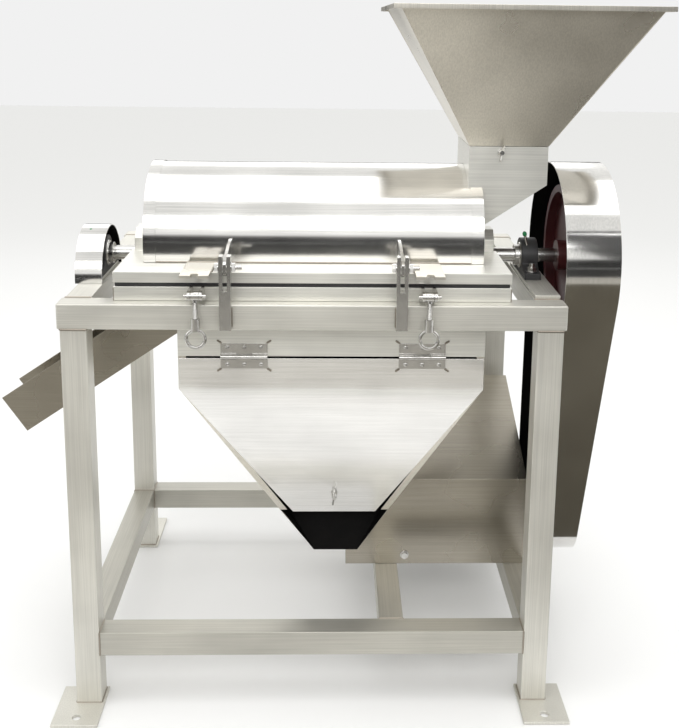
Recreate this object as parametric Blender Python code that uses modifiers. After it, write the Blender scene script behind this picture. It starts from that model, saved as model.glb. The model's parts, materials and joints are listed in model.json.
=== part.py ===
"""Grape crusher destemmer: welded frame, hinged drum cover, feed hopper, beater rotor, door and belt drive.

The finished objects are in metres, +Z up. The sizes below are in millimetres, as on a workshop drawing, and
placed() scales each piece once. X runs along the drum, Y from front to back. The drawing's zero is the front
left leg's outer corner on the floor, and SHIFT moves the middle of the whole machine's plan to the origin.
"""

import math

import bmesh
import bpy
from mathutils import Matrix, Vector

MM = 0.001
GAP = 0.3
SHIFT = Vector((-476.875, -372.0, 0.0))

# Welded frame of square tube.
FRAME_X = 956.0
FRAME_Y = 710.0
FRAME_Z = 843.0
TUBE = 50.0
TUBE_WALL = 2.5
CAP_OVERHANG = 6.0
STRETCHER_Z = 111.0
CROSS_RAIL_Y = 440.0
MOTOR_RAIL_X = 614.0
FOOT_T = 6.0
FOOT_HOLE_R = 8.5
FOOT_HOLE_IN = 25.0
FOOT_LEFT_X = (-36.0, 56.0)
FOOT_RIGHT_X = (900.0, 992.0)
FOOT_FRONT_Y = (-72.0, 54.0)
FOOT_REAR_Y = (656.0, 816.0)

# Drum axis, shaft and bearings.
AXIS_Y = 257.0
SHAFT_Z = 886.9
SHAFT_R = 15.0
BORE_R = 15.3
SHAFT_X = (2.0, 1058.0)
SEAT_T = 6.0
BEARING_HALF_X = 17.0
BEARING_X = (26.0, 927.0)

# Body: lower rim, gasket, cover flange and drum cover.
RIM_X = (97.0, 857.0)
RIM_Y = (27.0, 487.0)
OPEN_X = (145.0, 809.0)
OPEN_Y = (113.0, 401.0)
RIM_TOP = 870.6
GASKET_TOP = 878.0
FLANGE_TOP = 899.3
SHEET = 2.0
DRUM_X = (141.0, 813.0)
DRUM_R = 150.0
DRUM_AXIS_Z = 930.0
SEAL_X = 36.0
SEAL_HALF_Y = 38.0
SHAFT_SLOT = 21.0
SHAFT_SLOT_TOP = 909.0

# Feed neck and hopper.
NECK_X = (784.0, 942.0)
NECK_Y = (159.0, 355.0)
NECK_TOP = 1128.0
NECK_SLOPE = ((942.0, 1051.0), (820.0, 970.0))
RIM_HOPPER_X = (620.0, 1131.0)
RIM_HOPPER_Y = (2.0, 512.0)
HOPPER_TOP = 1401.0
HOPPER_LIP = 13.0
SCREW_HOLE_R = 3.4
NECK_SCREW = Vector((847.0, 159.0, 1117.0))

# Cover hinge at the front.
HINGE_Y = -10.0
HINGE_Z = 918.0
FORK_X = (313.0, 644.0)
FORK_W = 22.0
FORK_SLOT = 8.4
ARM_T = 6.0
HINGE_BOLT_R = 6.0

# Swing bolts with eye nuts.
SWING_X = (257.0, 696.0)
SWING_Y = -16.0
SWING_Z = 864.0
SWING_PIN_R = 4.0
SHANK_R = 5.5
NUT_START = 43.4
RING_AT = 83.0
RING_R = 17.5
RING_WIRE = 3.5

# Discharge skirt, funnel and front door.
SKIRT_X = (211.0, 815.0)
SKIRT_Y = (62.0, 436.0)
DOOR_HINGE_Y = 57.0
DOOR_HINGE_Z = 722.0
BEND_Z = 654.0
MOUTH_FRONT = (403.0, 637.0, 200.0, 330.0)
MOUTH_BACK = (474.0, 574.0, 258.0, 208.0)
BACK_BEND = (371.0, 669.0, 266.0, 385.0)
DOOR_BOTTOM_X = (431.0, 609.0)
BUTT_X = (341.0, 691.0)
BUTT_W = 92.0

# Stem chute.
CHUTE_TIP = (-178.0, 586.0)
CHUTE_DEG = 34.0
CHUTE_SIDE = 88.0
CHUTE_Y = (194.0, 318.0)
CHUTE_END_X = 206.0
CHUTE_HOOD_X = 99.0

# Belt drive and motor.
GUARD_X = (968.0, 1076.0)
GUARD_R = 198.0
MOTOR_Y = 373.0
MOTOR_Z = 258.0
GUARD_SMALL_R = 97.0
PULLEY_X = (992.0, 1040.0)
PULLEY_R = 150.0
MOTOR_PULLEY_R = 50.0
MOTOR_R = 84.0
BOX_X = (547.0, 954.0)
BOX_Y = (275.0, 610.0)
BOX_BOTTOM = 161.3
BOX_FRONT_TOP = 367.0
BOX_BACK_TOP = 497.0

FINISHES = {
    "frame_steel": ((0.62, 0.60, 0.56, 1.0), 0.42, 1.0),
    "polished_steel": ((0.78, 0.78, 0.77, 1.0), 0.16, 1.0),
    "satin_steel": ((0.60, 0.57, 0.52, 1.0), 0.34, 1.0),
    "cast_black": ((0.03, 0.03, 0.032, 1.0), 0.55, 0.2),
    "pulley_red": ((0.22, 0.03, 0.03, 1.0), 0.45, 0.1),
    "rubber_black": ((0.02, 0.02, 0.02, 1.0), 0.75, 0.0),
    "motor_grey": ((0.14, 0.17, 0.2, 1.0), 0.5, 0.2),
    "bolt_steel": ((0.7, 0.69, 0.67, 1.0), 0.28, 1.0),
}


def clear_scene():
    for obj in list(bpy.data.objects):
        bpy.data.objects.remove(obj, do_unlink=True)


def new_collection(name):
    made = bpy.data.collections.new(name)
    bpy.context.scene.collection.children.link(made)
    return made


def material(obj, finish):
    """Gives the object its own Principled material."""
    colour, roughness, metallic = FINISHES[finish]
    made = bpy.data.materials.new(obj.name)
    made.use_nodes = True
    shader = made.node_tree.nodes["Principled BSDF"]
    shader.inputs["Base Color"].default_value = colour
    shader.inputs["Roughness"].default_value = roughness
    shader.inputs["Metallic"].default_value = metallic
    obj.data.materials.clear()
    obj.data.materials.append(made)


def smooth(mesh, angle=35.0):
    mesh.shade_smooth()
    mesh.set_sharp_from_angle(angle=math.radians(angle))


def mesh_object(name, mesh, where=None):
    made = bpy.data.objects.new(name, mesh)
    (where or PARTS).objects.link(made)
    return made


def placed(name, mesh, finish):
    """Turns a raw millimetre mesh into a finished node in metres, at its place in the object."""
    mesh.transform(Matrix.Scale(MM, 4) @ Matrix.Translation(SHIFT))
    smooth(mesh)
    obj = mesh_object(name, mesh)
    material(obj, finish)
    return obj


def weld(mesh, distance=0.0005):
    work = bmesh.new()
    work.from_mesh(mesh)
    bmesh.ops.remove_doubles(work, verts=work.verts, dist=distance)
    bmesh.ops.recalc_face_normals(work, faces=work.faces)
    work.to_mesh(mesh)
    work.free()
    return mesh


AXIS_FRAME = {
    "x": Matrix(((0, 0, 1, 0), (1, 0, 0, 0), (0, 1, 0, 0), (0, 0, 0, 1))),
    "y": Matrix(((1, 0, 0, 0), (0, 0, -1, 0), (0, 1, 0, 0), (0, 0, 0, 1))),
    "z": Matrix.Identity(4),
}


def prism(loops, axis, low, high):
    """A flat outline with holes, extruded from low to high along the axis.

    Loops are (Y, Z) pairs for axis x, (X, Z) pairs for axis y and (X, Y) pairs for axis z.
    """
    curve = bpy.data.curves.new("outline", "CURVE")
    curve.dimensions = "2D"
    curve.fill_mode = "BOTH"
    curve.extrude = (high - low) / 2
    for loop in loops:
        spline = curve.splines.new("POLY")
        spline.points.add(len(loop) - 1)
        for point, (u, v) in zip(spline.points, loop):
            point.co = (u, v, 0.0, 1.0)
        spline.use_cyclic_u = True
    guide = bpy.data.objects.new("outline", curve)
    CUTTERS.objects.link(guide)
    mesh = evaluated(guide)
    middle = (high + low) / 2
    if axis == "y":
        middle = -middle
    mesh.transform(AXIS_FRAME[axis] @ Matrix.Translation((0, 0, middle)))
    return mesh


def rectangle(u0, v0, u1, v1):
    return [(u0, v0), (u1, v0), (u1, v1), (u0, v1)]


def circle(u, v, radius, steps=48, start=0.0, sweep=360.0):
    """Points round a circle, or along part of one including both its ends."""
    whole = sweep >= 360.0
    count = steps if whole else steps + 1
    turn = [math.radians(start + sweep * i / steps) for i in range(count)]
    return [(u + radius * math.cos(t), v + radius * math.sin(t)) for t in turn]


def box(x0, y0, z0, x1, y1, z1, bevel=0.0):
    work = bmesh.new()
    size = Matrix.Diagonal((x1 - x0, y1 - y0, z1 - z0, 1.0))
    centre = Matrix.Translation(((x0 + x1) / 2, (y0 + y1) / 2, (z0 + z1) / 2))
    bmesh.ops.create_cube(work, size=1.0, matrix=centre @ size)
    if bevel:
        bmesh.ops.bevel(
            work, geom=work.edges[:], offset=bevel, segments=2, profile=0.5, affect="EDGES", material=-1
        )
    mesh = bpy.data.meshes.new("box")
    work.to_mesh(mesh)
    work.free()
    return mesh


def evaluated(base):
    """The object's mesh with its modifiers applied, welded. The object itself is removed."""
    bpy.context.view_layer.update()
    graph = bpy.context.evaluated_depsgraph_get()
    mesh = bpy.data.meshes.new_from_object(base.evaluated_get(graph))
    bpy.data.objects.remove(base, do_unlink=True)
    return weld(mesh)


def boolean(mesh, operation, cutters):
    """The raw mesh after an exact Boolean with each raw cutter mesh in turn."""
    base = mesh_object("base", mesh, CUTTERS)
    for cutter in cutters:
        other = mesh_object("cutter", cutter, CUTTERS)
        other.display_type = "WIRE"
        change = base.modifiers.new("boolean", "BOOLEAN")
        change.operation = operation
        change.solver = "EXACT"
        change.object = other
    result = evaluated(base)
    for obj in list(CUTTERS.objects):
        bpy.data.objects.remove(obj, do_unlink=True)
    return result


def cut(mesh, *cutters):
    return boolean(mesh, "DIFFERENCE", cutters)


def join(mesh, *others):
    return boolean(mesh, "UNION", others)


def turned(profile, steps=48, direction="x", at=(0.0, 0.0, 0.0)):
    """A closed profile of (radius, height) pairs, turned round the given axis through the point at."""
    section = bpy.data.meshes.new("profile")
    points = [(radius, 0.0, height) for radius, height in profile]
    section.from_pydata(points, [(i, i + 1) for i in range(len(points) - 1)], [])
    base = mesh_object("profile", section, CUTTERS)
    lathe = base.modifiers.new("turn", "SCREW")
    lathe.axis = "Z"
    lathe.steps = steps
    lathe.render_steps = steps
    lathe.use_merge_vertices = True
    lathe.merge_threshold = 0.0001
    mesh = evaluated(base)
    turn = {"x": Matrix.Rotation(math.pi / 2, 4, "Y"), "z": Matrix.Identity(4)}[direction]
    mesh.transform(Matrix.Translation(at) @ turn)
    return mesh


def rod(radius, low, high, at, direction="x", steps=32):
    """A plain cylinder along X or Z; at gives its axis, as (Y, Z) or (X, Y)."""
    point = (0.0, at[0], at[1]) if direction == "x" else (at[0], at[1], 0.0)
    return turned([(0, high), (radius, high), (radius, low), (0, low)], steps, direction, point)


def shell(points, faces, thickness=SHEET, offset=-1.0):
    """An open surface of points and outward faces, thickened inwards (-1), outwards (1) or both ways (0)."""
    surface = bpy.data.meshes.new("surface")
    surface.from_pydata([Vector(p) for p in points], [], faces)
    surface.update()
    base = mesh_object("surface", surface, CUTTERS)
    change = base.modifiers.new("thickness", "SOLIDIFY")
    change.thickness = thickness
    change.offset = offset
    change.use_even_offset = True
    return evaluated(base)


def tube_section(u0, v0, u1, v1, wall=TUBE_WALL):
    return [rectangle(u0, v0, u1, v1), rectangle(u0 + wall, v0 + wall, u1 - wall, v1 - wall)]


def legs():
    """Four square tube legs, each welded to a foot plate with one anchor hole near its outer edge."""
    plates_x = {"left": FOOT_LEFT_X, "right": FOOT_RIGHT_X}
    plates_y = {"front": FOOT_FRONT_Y, "rear": FOOT_REAR_Y}
    for side, x0 in (("left", 0.0), ("right", FRAME_X - TUBE)):
        for end, y0 in (("front", 0.0), ("rear", FRAME_Y - TUBE)):
            px0, px1 = plates_x[side]
            py0, py1 = plates_y[end]
            hole_y = py0 + FOOT_HOLE_IN if end == "front" else py1 - FOOT_HOLE_IN
            section = tube_section(x0, y0, x0 + TUBE, y0 + TUBE)
            tube = prism(section, "z", FOOT_T / 2, FRAME_Z - TUBE - GAP)
            hole = circle((px0 + px1) / 2, hole_y, FOOT_HOLE_R, 24)
            plate = prism([rectangle(px0, py0, px1, py1), hole], "z", 0.0, FOOT_T)
            placed(f"leg_{end}_{side}", join(plate, tube), "frame_steel")


def capped_rail(name, y0):
    """Top rail with closed, softened ends. A small vent hole opens its inside at the bottom."""
    z0 = FRAME_Z - TUBE
    solid = box(-CAP_OVERHANG, y0, z0, FRAME_X + CAP_OVERHANG, y0 + TUBE, FRAME_Z, 3.0)
    inside = box(
        TUBE_WALL,
        y0 + TUBE_WALL,
        z0 + TUBE_WALL,
        FRAME_X - TUBE_WALL,
        y0 + TUBE - TUBE_WALL,
        FRAME_Z - TUBE_WALL,
    )
    vent = rod(1.5, z0 - 5.0, z0 + TUBE / 2, (FRAME_X / 2, y0 + TUBE / 2), "z", 12)
    placed(name, cut(solid, inside, vent), "frame_steel")


def side_rail(name, x0):
    z0 = FRAME_Z - TUBE
    section = [(x0, z0), (x0 + TUBE, z0), (x0 + TUBE, FRAME_Z), (x0, FRAME_Z)]
    inner = [
        (x0 + TUBE_WALL, z0 + TUBE_WALL),
        (x0 + TUBE - TUBE_WALL, z0 + TUBE_WALL),
        (x0 + TUBE - TUBE_WALL, FRAME_Z - TUBE_WALL),
        (x0 + TUBE_WALL, FRAME_Z - TUBE_WALL),
    ]
    placed(name, prism([section, inner], "y", TUBE + GAP, FRAME_Y - TUBE - GAP), "frame_steel")


def rails():
    capped_rail("rail_front", 0.0)
    capped_rail("rail_rear", FRAME_Y - TUBE)
    side_rail("rail_left", 0.0)
    side_rail("rail_right", FRAME_X - TUBE)
    z0 = FRAME_Z - TUBE
    cross = tube_section(CROSS_RAIL_Y, z0, CROSS_RAIL_Y + TUBE, FRAME_Z)
    placed("rail_cross", prism(cross, "x", TUBE + GAP, FRAME_X - TUBE - GAP), "frame_steel")


def stretchers():
    """Low ring of square tube between the legs, and the rail that carries the motor."""
    z0 = STRETCHER_Z
    z1 = STRETCHER_Z + TUBE
    inner_x = (TUBE + GAP, FRAME_X - TUBE - GAP)
    inner_y = (TUBE + GAP, FRAME_Y - TUBE - GAP)
    for end, y0 in (("front", 0.0), ("rear", FRAME_Y - TUBE)):
        section = tube_section(y0, z0, y0 + TUBE, z1)
        placed(f"stretcher_{end}", prism(section, "x", *inner_x), "frame_steel")
    for name, x0 in (
        ("stretcher_left", 0.0),
        ("stretcher_right", FRAME_X - TUBE),
        ("rail_motor", MOTOR_RAIL_X),
    ):
        section = tube_section(x0, z0, x0 + TUBE, z1)
        placed(name, prism(section, "y", *inner_y), "frame_steel")


def seat_plates():
    z0 = FRAME_Z + GAP
    for name, x0, x1, y0, y1 in (
        ("seat_plate_left", 0.0, 44.0, 168.0, 346.0),
        ("seat_plate_right", 908.0, 958.0, 56.0, 352.0),
    ):
        placed(name, box(x0, y0, z0, x1, y1, z0 + SEAT_T, 0.8), "frame_steel")


def pillow_blocks():
    """Two cast bearing housings: a long foot, a domed body and the shaft's bore."""
    foot_z = FRAME_Z + SEAT_T + 2 * GAP
    half = 76.0
    toe = 13.0
    dome = 37.0
    arc = circle(AXIS_Y, SHAFT_Z, dome, 24, -18.0, 216.0)
    outline = [(AXIS_Y - half, foot_z), (AXIS_Y + half, foot_z), (AXIS_Y + half, foot_z + toe)]
    outline += [(AXIS_Y + 48.0, foot_z + toe + 3.0)] + arc
    outline += [(AXIS_Y - 48.0, foot_z + toe + 3.0), (AXIS_Y - half, foot_z + toe)]
    hole = circle(AXIS_Y, SHAFT_Z, BORE_R, 48)
    for side, x in zip(("left", "right"), BEARING_X):
        body = prism([outline, hole], "x", x - BEARING_HALF_X, x + BEARING_HALF_X)
        placed(f"pillow_block_{side}", body, "cast_black")


def bearing_cover():
    """Polished half-round cover over the left bearing, closed at its outer end."""
    x0 = -6.0
    x1 = 48.0
    radius = 101.0
    base = FRAME_Z + GAP
    arc = circle(AXIS_Y, base + 1.5, radius, 36, 0.0, 180.0)
    loop = [(AXIS_Y + radius, base)] + arc + [(AXIS_Y - radius, base)]
    points = [(x0, y, z) for y, z in loop] + [(x1, y, z) for y, z in loop]
    count = len(loop)
    faces = [(i, i + 1, count + i + 1, count + i) for i in range(count - 1)]
    faces.append(tuple(range(count - 1, -1, -1)))
    placed("bearing_cover_left", shell(points, faces), "polished_steel")


def folded_ring(z_top, z_bottom):
    """A rectangular ring of folded sheet: flat top, with a skirt outside and one round the opening."""
    outer = rectangle(RIM_X[0], RIM_Y[0], RIM_X[1], RIM_Y[1])
    inner = rectangle(OPEN_X[0], OPEN_Y[0], OPEN_X[1], OPEN_Y[1])
    points = [(x, y, z_bottom) for x, y in outer] + [(x, y, z_top) for x, y in outer]
    points += [(x, y, z_top) for x, y in inner] + [(x, y, z_bottom) for x, y in inner]
    return shell(points, ring_faces(4))


def ring_faces(rings):
    """Faces between rings of four corners each, from one ring to the next."""
    faces = []
    for row in range(rings - 1):
        for i in range(4):
            j = (i + 1) % 4
            faces.append((4 * row + i, 4 * row + j, 4 * row + 4 + j, 4 * row + 4 + i))
    return faces


def shaft_slot(x0, x1, bottom):
    """Cutter for the shaft: a straight notch with room for a felt packing over and beside it."""
    notch = rectangle(AXIS_Y - SHAFT_SLOT, bottom, AXIS_Y + SHAFT_SLOT, SHAFT_SLOT_TOP)
    return prism([notch], "x", x0, x1)


def lower_body():
    """Lower rim on the front and cross rails, and the rubber gasket in two halves beside the shaft."""
    rim = folded_ring(RIM_TOP, FRAME_Z + GAP)
    placed("lower_rim", rim, "polished_steel")
    x0, x1 = RIM_X[0] + 3.0, RIM_X[1] - 3.0
    y0, y1 = RIM_Y[0] + 3.0, RIM_Y[1] - 3.0
    width = 34.0
    for name, near, far, step in (
        ("gasket_front", y0, AXIS_Y - SHAFT_SLOT, 1),
        ("gasket_rear", y1, AXIS_Y + SHAFT_SLOT, -1),
    ):
        inside = near + step * width
        outline = [
            (x0, near),
            (x1, near),
            (x1, far),
            (x1 - width, far),
            (x1 - width, inside),
            (x0 + width, inside),
            (x0 + width, far),
            (x0, far),
        ]
        placed(name, prism([outline], "z", RIM_TOP + GAP, GASKET_TOP), "rubber_black")


def screen():
    """Half-round sieve under the rotor."""
    outer_r = 139.0
    outer = circle(AXIS_Y, SHAFT_Z, outer_r, 40, 180.0, 180.0)
    inner = circle(AXIS_Y, SHAFT_Z, outer_r - 1.5, 40, 180.0, 180.0)
    lip = 4.0
    left = [(AXIS_Y - outer_r - lip, SHAFT_Z - 1.5), (AXIS_Y - outer_r - lip, SHAFT_Z)]
    right = [(AXIS_Y + outer_r + lip, SHAFT_Z), (AXIS_Y + outer_r + lip, SHAFT_Z - 1.5)]
    outline = left[1:] + inner + right + outer[::-1][1:-1] + left[:1]
    placed("screen", prism([outline], "x", 214.0, 807.0), "satin_steel")


def cover_shell():
    """Drum cover: a half-round top on straight sides, with flat ends and openings for feed and shaft."""
    low = FLANGE_TOP + GAP
    arc = circle(AXIS_Y, DRUM_AXIS_Z, DRUM_R, 40, 0.0, 180.0)
    loop = [(AXIS_Y + DRUM_R, low)] + arc + [(AXIS_Y - DRUM_R, low)]
    points = [(DRUM_X[0], y, z) for y, z in loop] + [(DRUM_X[1], y, z) for y, z in loop]
    count = len(loop)
    faces = [(i, i + 1, count + i + 1, count + i) for i in range(count - 1)]
    faces.append(tuple(range(count - 1, -1, -1)))
    faces.append(tuple(range(count, 2 * count)))
    sheet = shell(points, faces)
    sill = NECK_SLOPE[1][1] + SHEET
    feed = box(NECK_X[0] + SHEET, NECK_Y[0] + SHEET, sill, 830.0, NECK_Y[1] - SHEET, 1120.0)
    slot = shaft_slot(DRUM_X[0] - 20.0, DRUM_X[1] + 20.0, low - 20.0)
    placed("cover_shell", cut(sheet, feed, slot), "polished_steel")


def cover_flange():
    """Folded flange round the cover, with a seal block at each end that bridges the shaft."""
    ring = folded_ring(FLANGE_TOP, GASKET_TOP + GAP)
    low = GASKET_TOP + GAP
    top_front = 926.0
    top_back = 945.0
    y0, y1 = AXIS_Y - SEAL_HALF_Y, AXIS_Y + SEAL_HALF_Y
    shoulder = 18.0
    outline = [(y0, low), (y1, low), (y1, top_front)]
    outline += [(y1 - shoulder, top_back), (y0 + shoulder, top_back), (y0, top_front)]
    left = prism([outline], "x", DRUM_X[0] - GAP - SEAL_X, DRUM_X[0] - GAP)
    right = prism([outline], "x", DRUM_X[1] + GAP, DRUM_X[1] + GAP + SEAL_X)
    body = join(ring, left, right)
    body = cut(body, shaft_slot(RIM_X[0] - 30.0, RIM_X[1] + 30.0, low - 20.0))
    placed("cover_flange", body, "polished_steel")


def neck():
    """Feed throat welded over the cover's right end, with a sloping floor into the drum."""
    (x0, x1), (y0, y1) = NECK_X, NECK_Y
    (sx1, sz1), (sx0, sz0) = NECK_SLOPE
    outer = [(x0, NECK_TOP), (x0, sz0), (sx0, sz0), (sx1, sz1), (x1, NECK_TOP)]
    floor = SHEET + 0.6
    inner = [
        (x0 + SHEET, NECK_TOP + 20.0),
        (x0 + SHEET, sz0 + floor),
        (sx0 - 1.0, sz0 + floor),
        (sx1 - SHEET, sz1 + 1.0),
        (x1 - SHEET, NECK_TOP + 20.0),
    ]
    body = prism([outer], "y", y0, y1)
    hollow = prism([inner], "y", y0 + SHEET, y1 - SHEET)
    radius = DRUM_R + GAP
    arc = circle(AXIS_Y, DRUM_AXIS_Z, radius, 40, 0.0, 180.0)
    drum = [(AXIS_Y + radius, FLANGE_TOP)] + arc + [(AXIS_Y - radius, FLANGE_TOP)]
    drum_room = prism([drum], "x", DRUM_X[0], DRUM_X[1] + GAP)
    screw = rod(SCREW_HOLE_R, -10.0, 10.0, (0.0, 0.0), "z", 20)
    screw.transform(facing(NECK_SCREW, Vector((0.0, -1.0, 0.0))))
    placed("feed_neck", cut(body, hollow, drum_room, screw), "satin_steel")


def hopper():
    """Square feed hopper: a spigot inside the neck, four sloping walls and a folded lip."""
    (x0, x1), (y0, y1) = NECK_X, NECK_Y
    slack = SHEET + 1.5
    (rx0, rx1), (ry0, ry1) = RIM_HOPPER_X, RIM_HOPPER_Y
    seat = NECK_TOP + 1.9
    lip = HOPPER_LIP
    top = HOPPER_TOP
    rings = [
        (x0 + slack, y0 + slack, x1 - slack, y1 - slack, NECK_TOP - 28.0),
        (x0 + slack, y0 + slack, x1 - slack, y1 - slack, seat),
        (x0, y0, x1, y1, seat),
        (rx0 + lip, ry0 + lip, rx1 - lip, ry1 - lip, top - 0.75),
        (rx0, ry0, rx1, ry1, top - 0.75),
        (rx0, ry0, rx1, ry1, top - 9.0),
    ]
    points = []
    for a0, b0, a1, b1, z in rings:
        points += [(a, b, z) for a, b in rectangle(a0, b0, a1, b1)]
    sheet = shell(points, ring_faces(len(rings)), 1.5, 0.0)
    for vertex in sheet.vertices:
        if vertex.co.z > top - 0.2:
            vertex.co.z = top + 0.3
    placed("hopper", sheet, "satin_steel")


def cover_hinge():
    """Two slotted fork bars on the front rail, the cover's two arms and the bolts through them."""
    z0 = 798.0
    z1 = 940.0
    slot_bottom = 873.0
    for side, x in zip(("left", "right"), FORK_X):
        half = FORK_W / 2
        slot = FORK_SLOT / 2
        outline = [
            (x - half, z0),
            (x + half, z0),
            (x + half, z1),
            (x + slot, z1),
            (x + slot, slot_bottom),
            (x - slot, slot_bottom),
            (x - slot, z1),
            (x - half, z1),
        ]
        fork = prism([outline], "y", -20.0, -GAP)
        hole = rod(HINGE_BOLT_R + GAP, x - 30.0, x + 30.0, (HINGE_Y, HINGE_Z))
        placed(f"hinge_fork_{side}", cut(fork, hole), "bolt_steel")
        back = AXIS_Y - DRUM_R - GAP
        foot = FLANGE_TOP + GAP
        arm = [(-22.0, 907.0), (-22.0, 925.0), (-14.0, 932.0), (60.0, 946.0), (back - 1.2, 948.0)]
        arm += [(back - 0.2, 936.0), (back, 930.0), (back, foot), (12.0, foot), (-14.0, 902.0)]
        eye = circle(HINGE_Y, HINGE_Z, HINGE_BOLT_R + GAP, 32)
        placed(f"cover_arm_{side}", prism([arm, eye], "x", x - ARM_T / 2, x + ARM_T / 2), "bolt_steel")
        bolt = [
            (0.0, x + 32.0),
            (HINGE_BOLT_R, x + 32.0),
            (HINGE_BOLT_R, x + half + 9.0),
            (9.5, x + half + 9.0),
            (9.5, x + half + GAP),
            (HINGE_BOLT_R, x + half + GAP),
            (HINGE_BOLT_R, x - half - GAP),
            (9.5, x - half - GAP),
            (9.5, x - half - 7.5),
            (0.0, x - half - 7.5),
        ]
        placed(f"hinge_bolt_{side}", turned(bolt, 32, "x", (0.0, HINGE_Y, HINGE_Z)), "bolt_steel")


def clamps():
    """Clevises, swing bolts, eye nuts and the slotted lugs on the cover that they pull down."""
    for side, x in zip(("left", "right"), SWING_X):
        clevis(side, x)
        swing_bolt(side, x)
        eye_nut(side, x)
        clamp_lug(side, x)


def clevis(side, x):
    """Two ears on the lower rim with a pin across them."""
    y1 = RIM_Y[0] - GAP
    arc = circle(SWING_Y, SWING_Z, 9.5, 16, 90.0, 180.0)
    outline = [(y1, 852.0), (y1, SWING_Z + 9.5)] + arc + [(SWING_Y + 10.0, 852.0)]
    ears = [prism([outline], "x", x + e0, x + e1) for e0, e1 in ((-14.0, -8.0), (8.0, 14.0))]
    pin = rod(SWING_PIN_R, x - 21.0, x + 21.0, (SWING_Y, SWING_Z), steps=24)
    placed(f"clamp_clevis_{side}", join(pin, *ears), "bolt_steel")


def swing_bolt(side, x):
    """Eye round the clevis pin with a shank that hangs down at rest."""
    rings = [circle(SWING_Y, SWING_Z, 9.0, 32), circle(SWING_Y, SWING_Z, SWING_PIN_R + GAP, 24)]
    eye = prism(rings, "x", x - 7.5, x + 7.5)
    shank = rod(SHANK_R, SWING_Z - 66.0, SWING_Z - 7.0, (x, SWING_Y), "z", 24)
    placed(f"swing_bolt_{side}", join(eye, shank), "bolt_steel")


def eye_nut(side, x):
    """Round nut on the shank with a lifting ring below it."""
    top = SWING_Z - NUT_START
    centre_z = SWING_Z - RING_AT
    boss = rod(9.0, SWING_Z - 67.5, top, (x, SWING_Y), "z", 32)
    section = [(RING_R + RING_WIRE * math.cos(t), RING_WIRE * math.sin(t)) for t in turns(10)]
    ring = turned(section, 32, "z", (0.0, 0.0, 0.0))
    upright = Matrix.Translation((x, SWING_Y, centre_z)) @ Matrix.Rotation(math.pi / 2, 4, "X")
    ring.transform(upright)
    bore = rod(SHANK_R + GAP, SWING_Z - 66.4, top + 10.0, (x, SWING_Y), "z", 24)
    placed(f"eye_nut_{side}", cut(join(boss, ring), bore), "bolt_steel")


def turns(steps):
    return [math.tau * i / steps for i in range(steps + 1)]


def clamp_lug(side, x):
    """Flat plate on the cover flange with an open notch for the swing bolt."""
    front = -26.0
    back = 84.0
    half = 27.5
    notch = 7.0
    end = circle(x, SWING_Y, notch, 12, 0.0, 180.0)
    outline = [(x + notch, front)] + end + [(x - notch, front), (x - half, front), (x - half, back)]
    outline += [(x + half, back), (x + half, front)]
    plate = prism([outline], "z", FLANGE_TOP + GAP, FLANGE_TOP + GAP + 6.0)
    placed(f"clamp_lug_{side}", plate, "satin_steel")


def skirt():
    """Upright box under the rim that leads the pulp to the funnel."""
    outline = rectangle(SKIRT_X[0], SKIRT_Y[0], SKIRT_X[1], SKIRT_Y[1])
    inner = rectangle(SKIRT_X[0] + SHEET, SKIRT_Y[0] + SHEET, SKIRT_X[1] - SHEET, SKIRT_Y[1] - SHEET)
    placed("discharge_skirt", prism([outline, inner], "z", DOOR_HINGE_Z, FRAME_Z), "polished_steel")


def funnel():
    """Discharge funnel: sides, back and narrow front edges, open in front where the door lies."""
    top = DOOR_HINGE_Z - GAP
    front_y = SKIRT_Y[0] + 2.0
    fx0, fx1, fy, fz = MOUTH_FRONT
    bx0, bx1, by, bz = MOUTH_BACK
    mx0, mx1, my, mz = BACK_BEND
    x0, x1 = SKIRT_X
    y1 = SKIRT_Y[1]
    edge = 16.0
    points = [
        (x0 + edge, front_y, top),
        (x0 + edge, front_y, BEND_Z),
        (fx0 + edge, fy, fz),
        (x0, front_y, top),
        (x0, front_y, BEND_Z),
        (fx0, fy, fz),
        (x0, y1, top),
        (x0, y1, BEND_Z),
        (mx0, my, mz),
        (bx0, by, bz),
        (x1, y1, top),
        (x1, y1, BEND_Z),
        (mx1, my, mz),
        (bx1, by, bz),
        (x1, front_y, top),
        (x1, front_y, BEND_Z),
        (fx1, fy, fz),
        (x1 - edge, front_y, top),
        (x1 - edge, front_y, BEND_Z),
        (fx1 - edge, fy, fz),
    ]
    faces = [
        (0, 3, 4, 1),
        (1, 4, 5, 2),
        (3, 6, 7, 4),
        (4, 7, 8, 5),
        (5, 8, 9),
        (6, 10, 11, 7),
        (7, 11, 12, 8),
        (8, 12, 13, 9),
        (10, 14, 15, 11),
        (11, 15, 16, 12),
        (12, 16, 13),
        (14, 17, 18, 15),
        (15, 18, 19, 16),
    ]
    placed("discharge_funnel", shell(points, faces), "satin_steel")


def door_slope():
    """Unit vector down the door's sloping face, and the face's outward normal."""
    run = Vector((0.0, MOUTH_FRONT[2] - SKIRT_Y[0] - 2.0, MOUTH_FRONT[3] - BEND_Z)).normalized()
    return run, Vector((0.0, run.z, -run.y))


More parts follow.
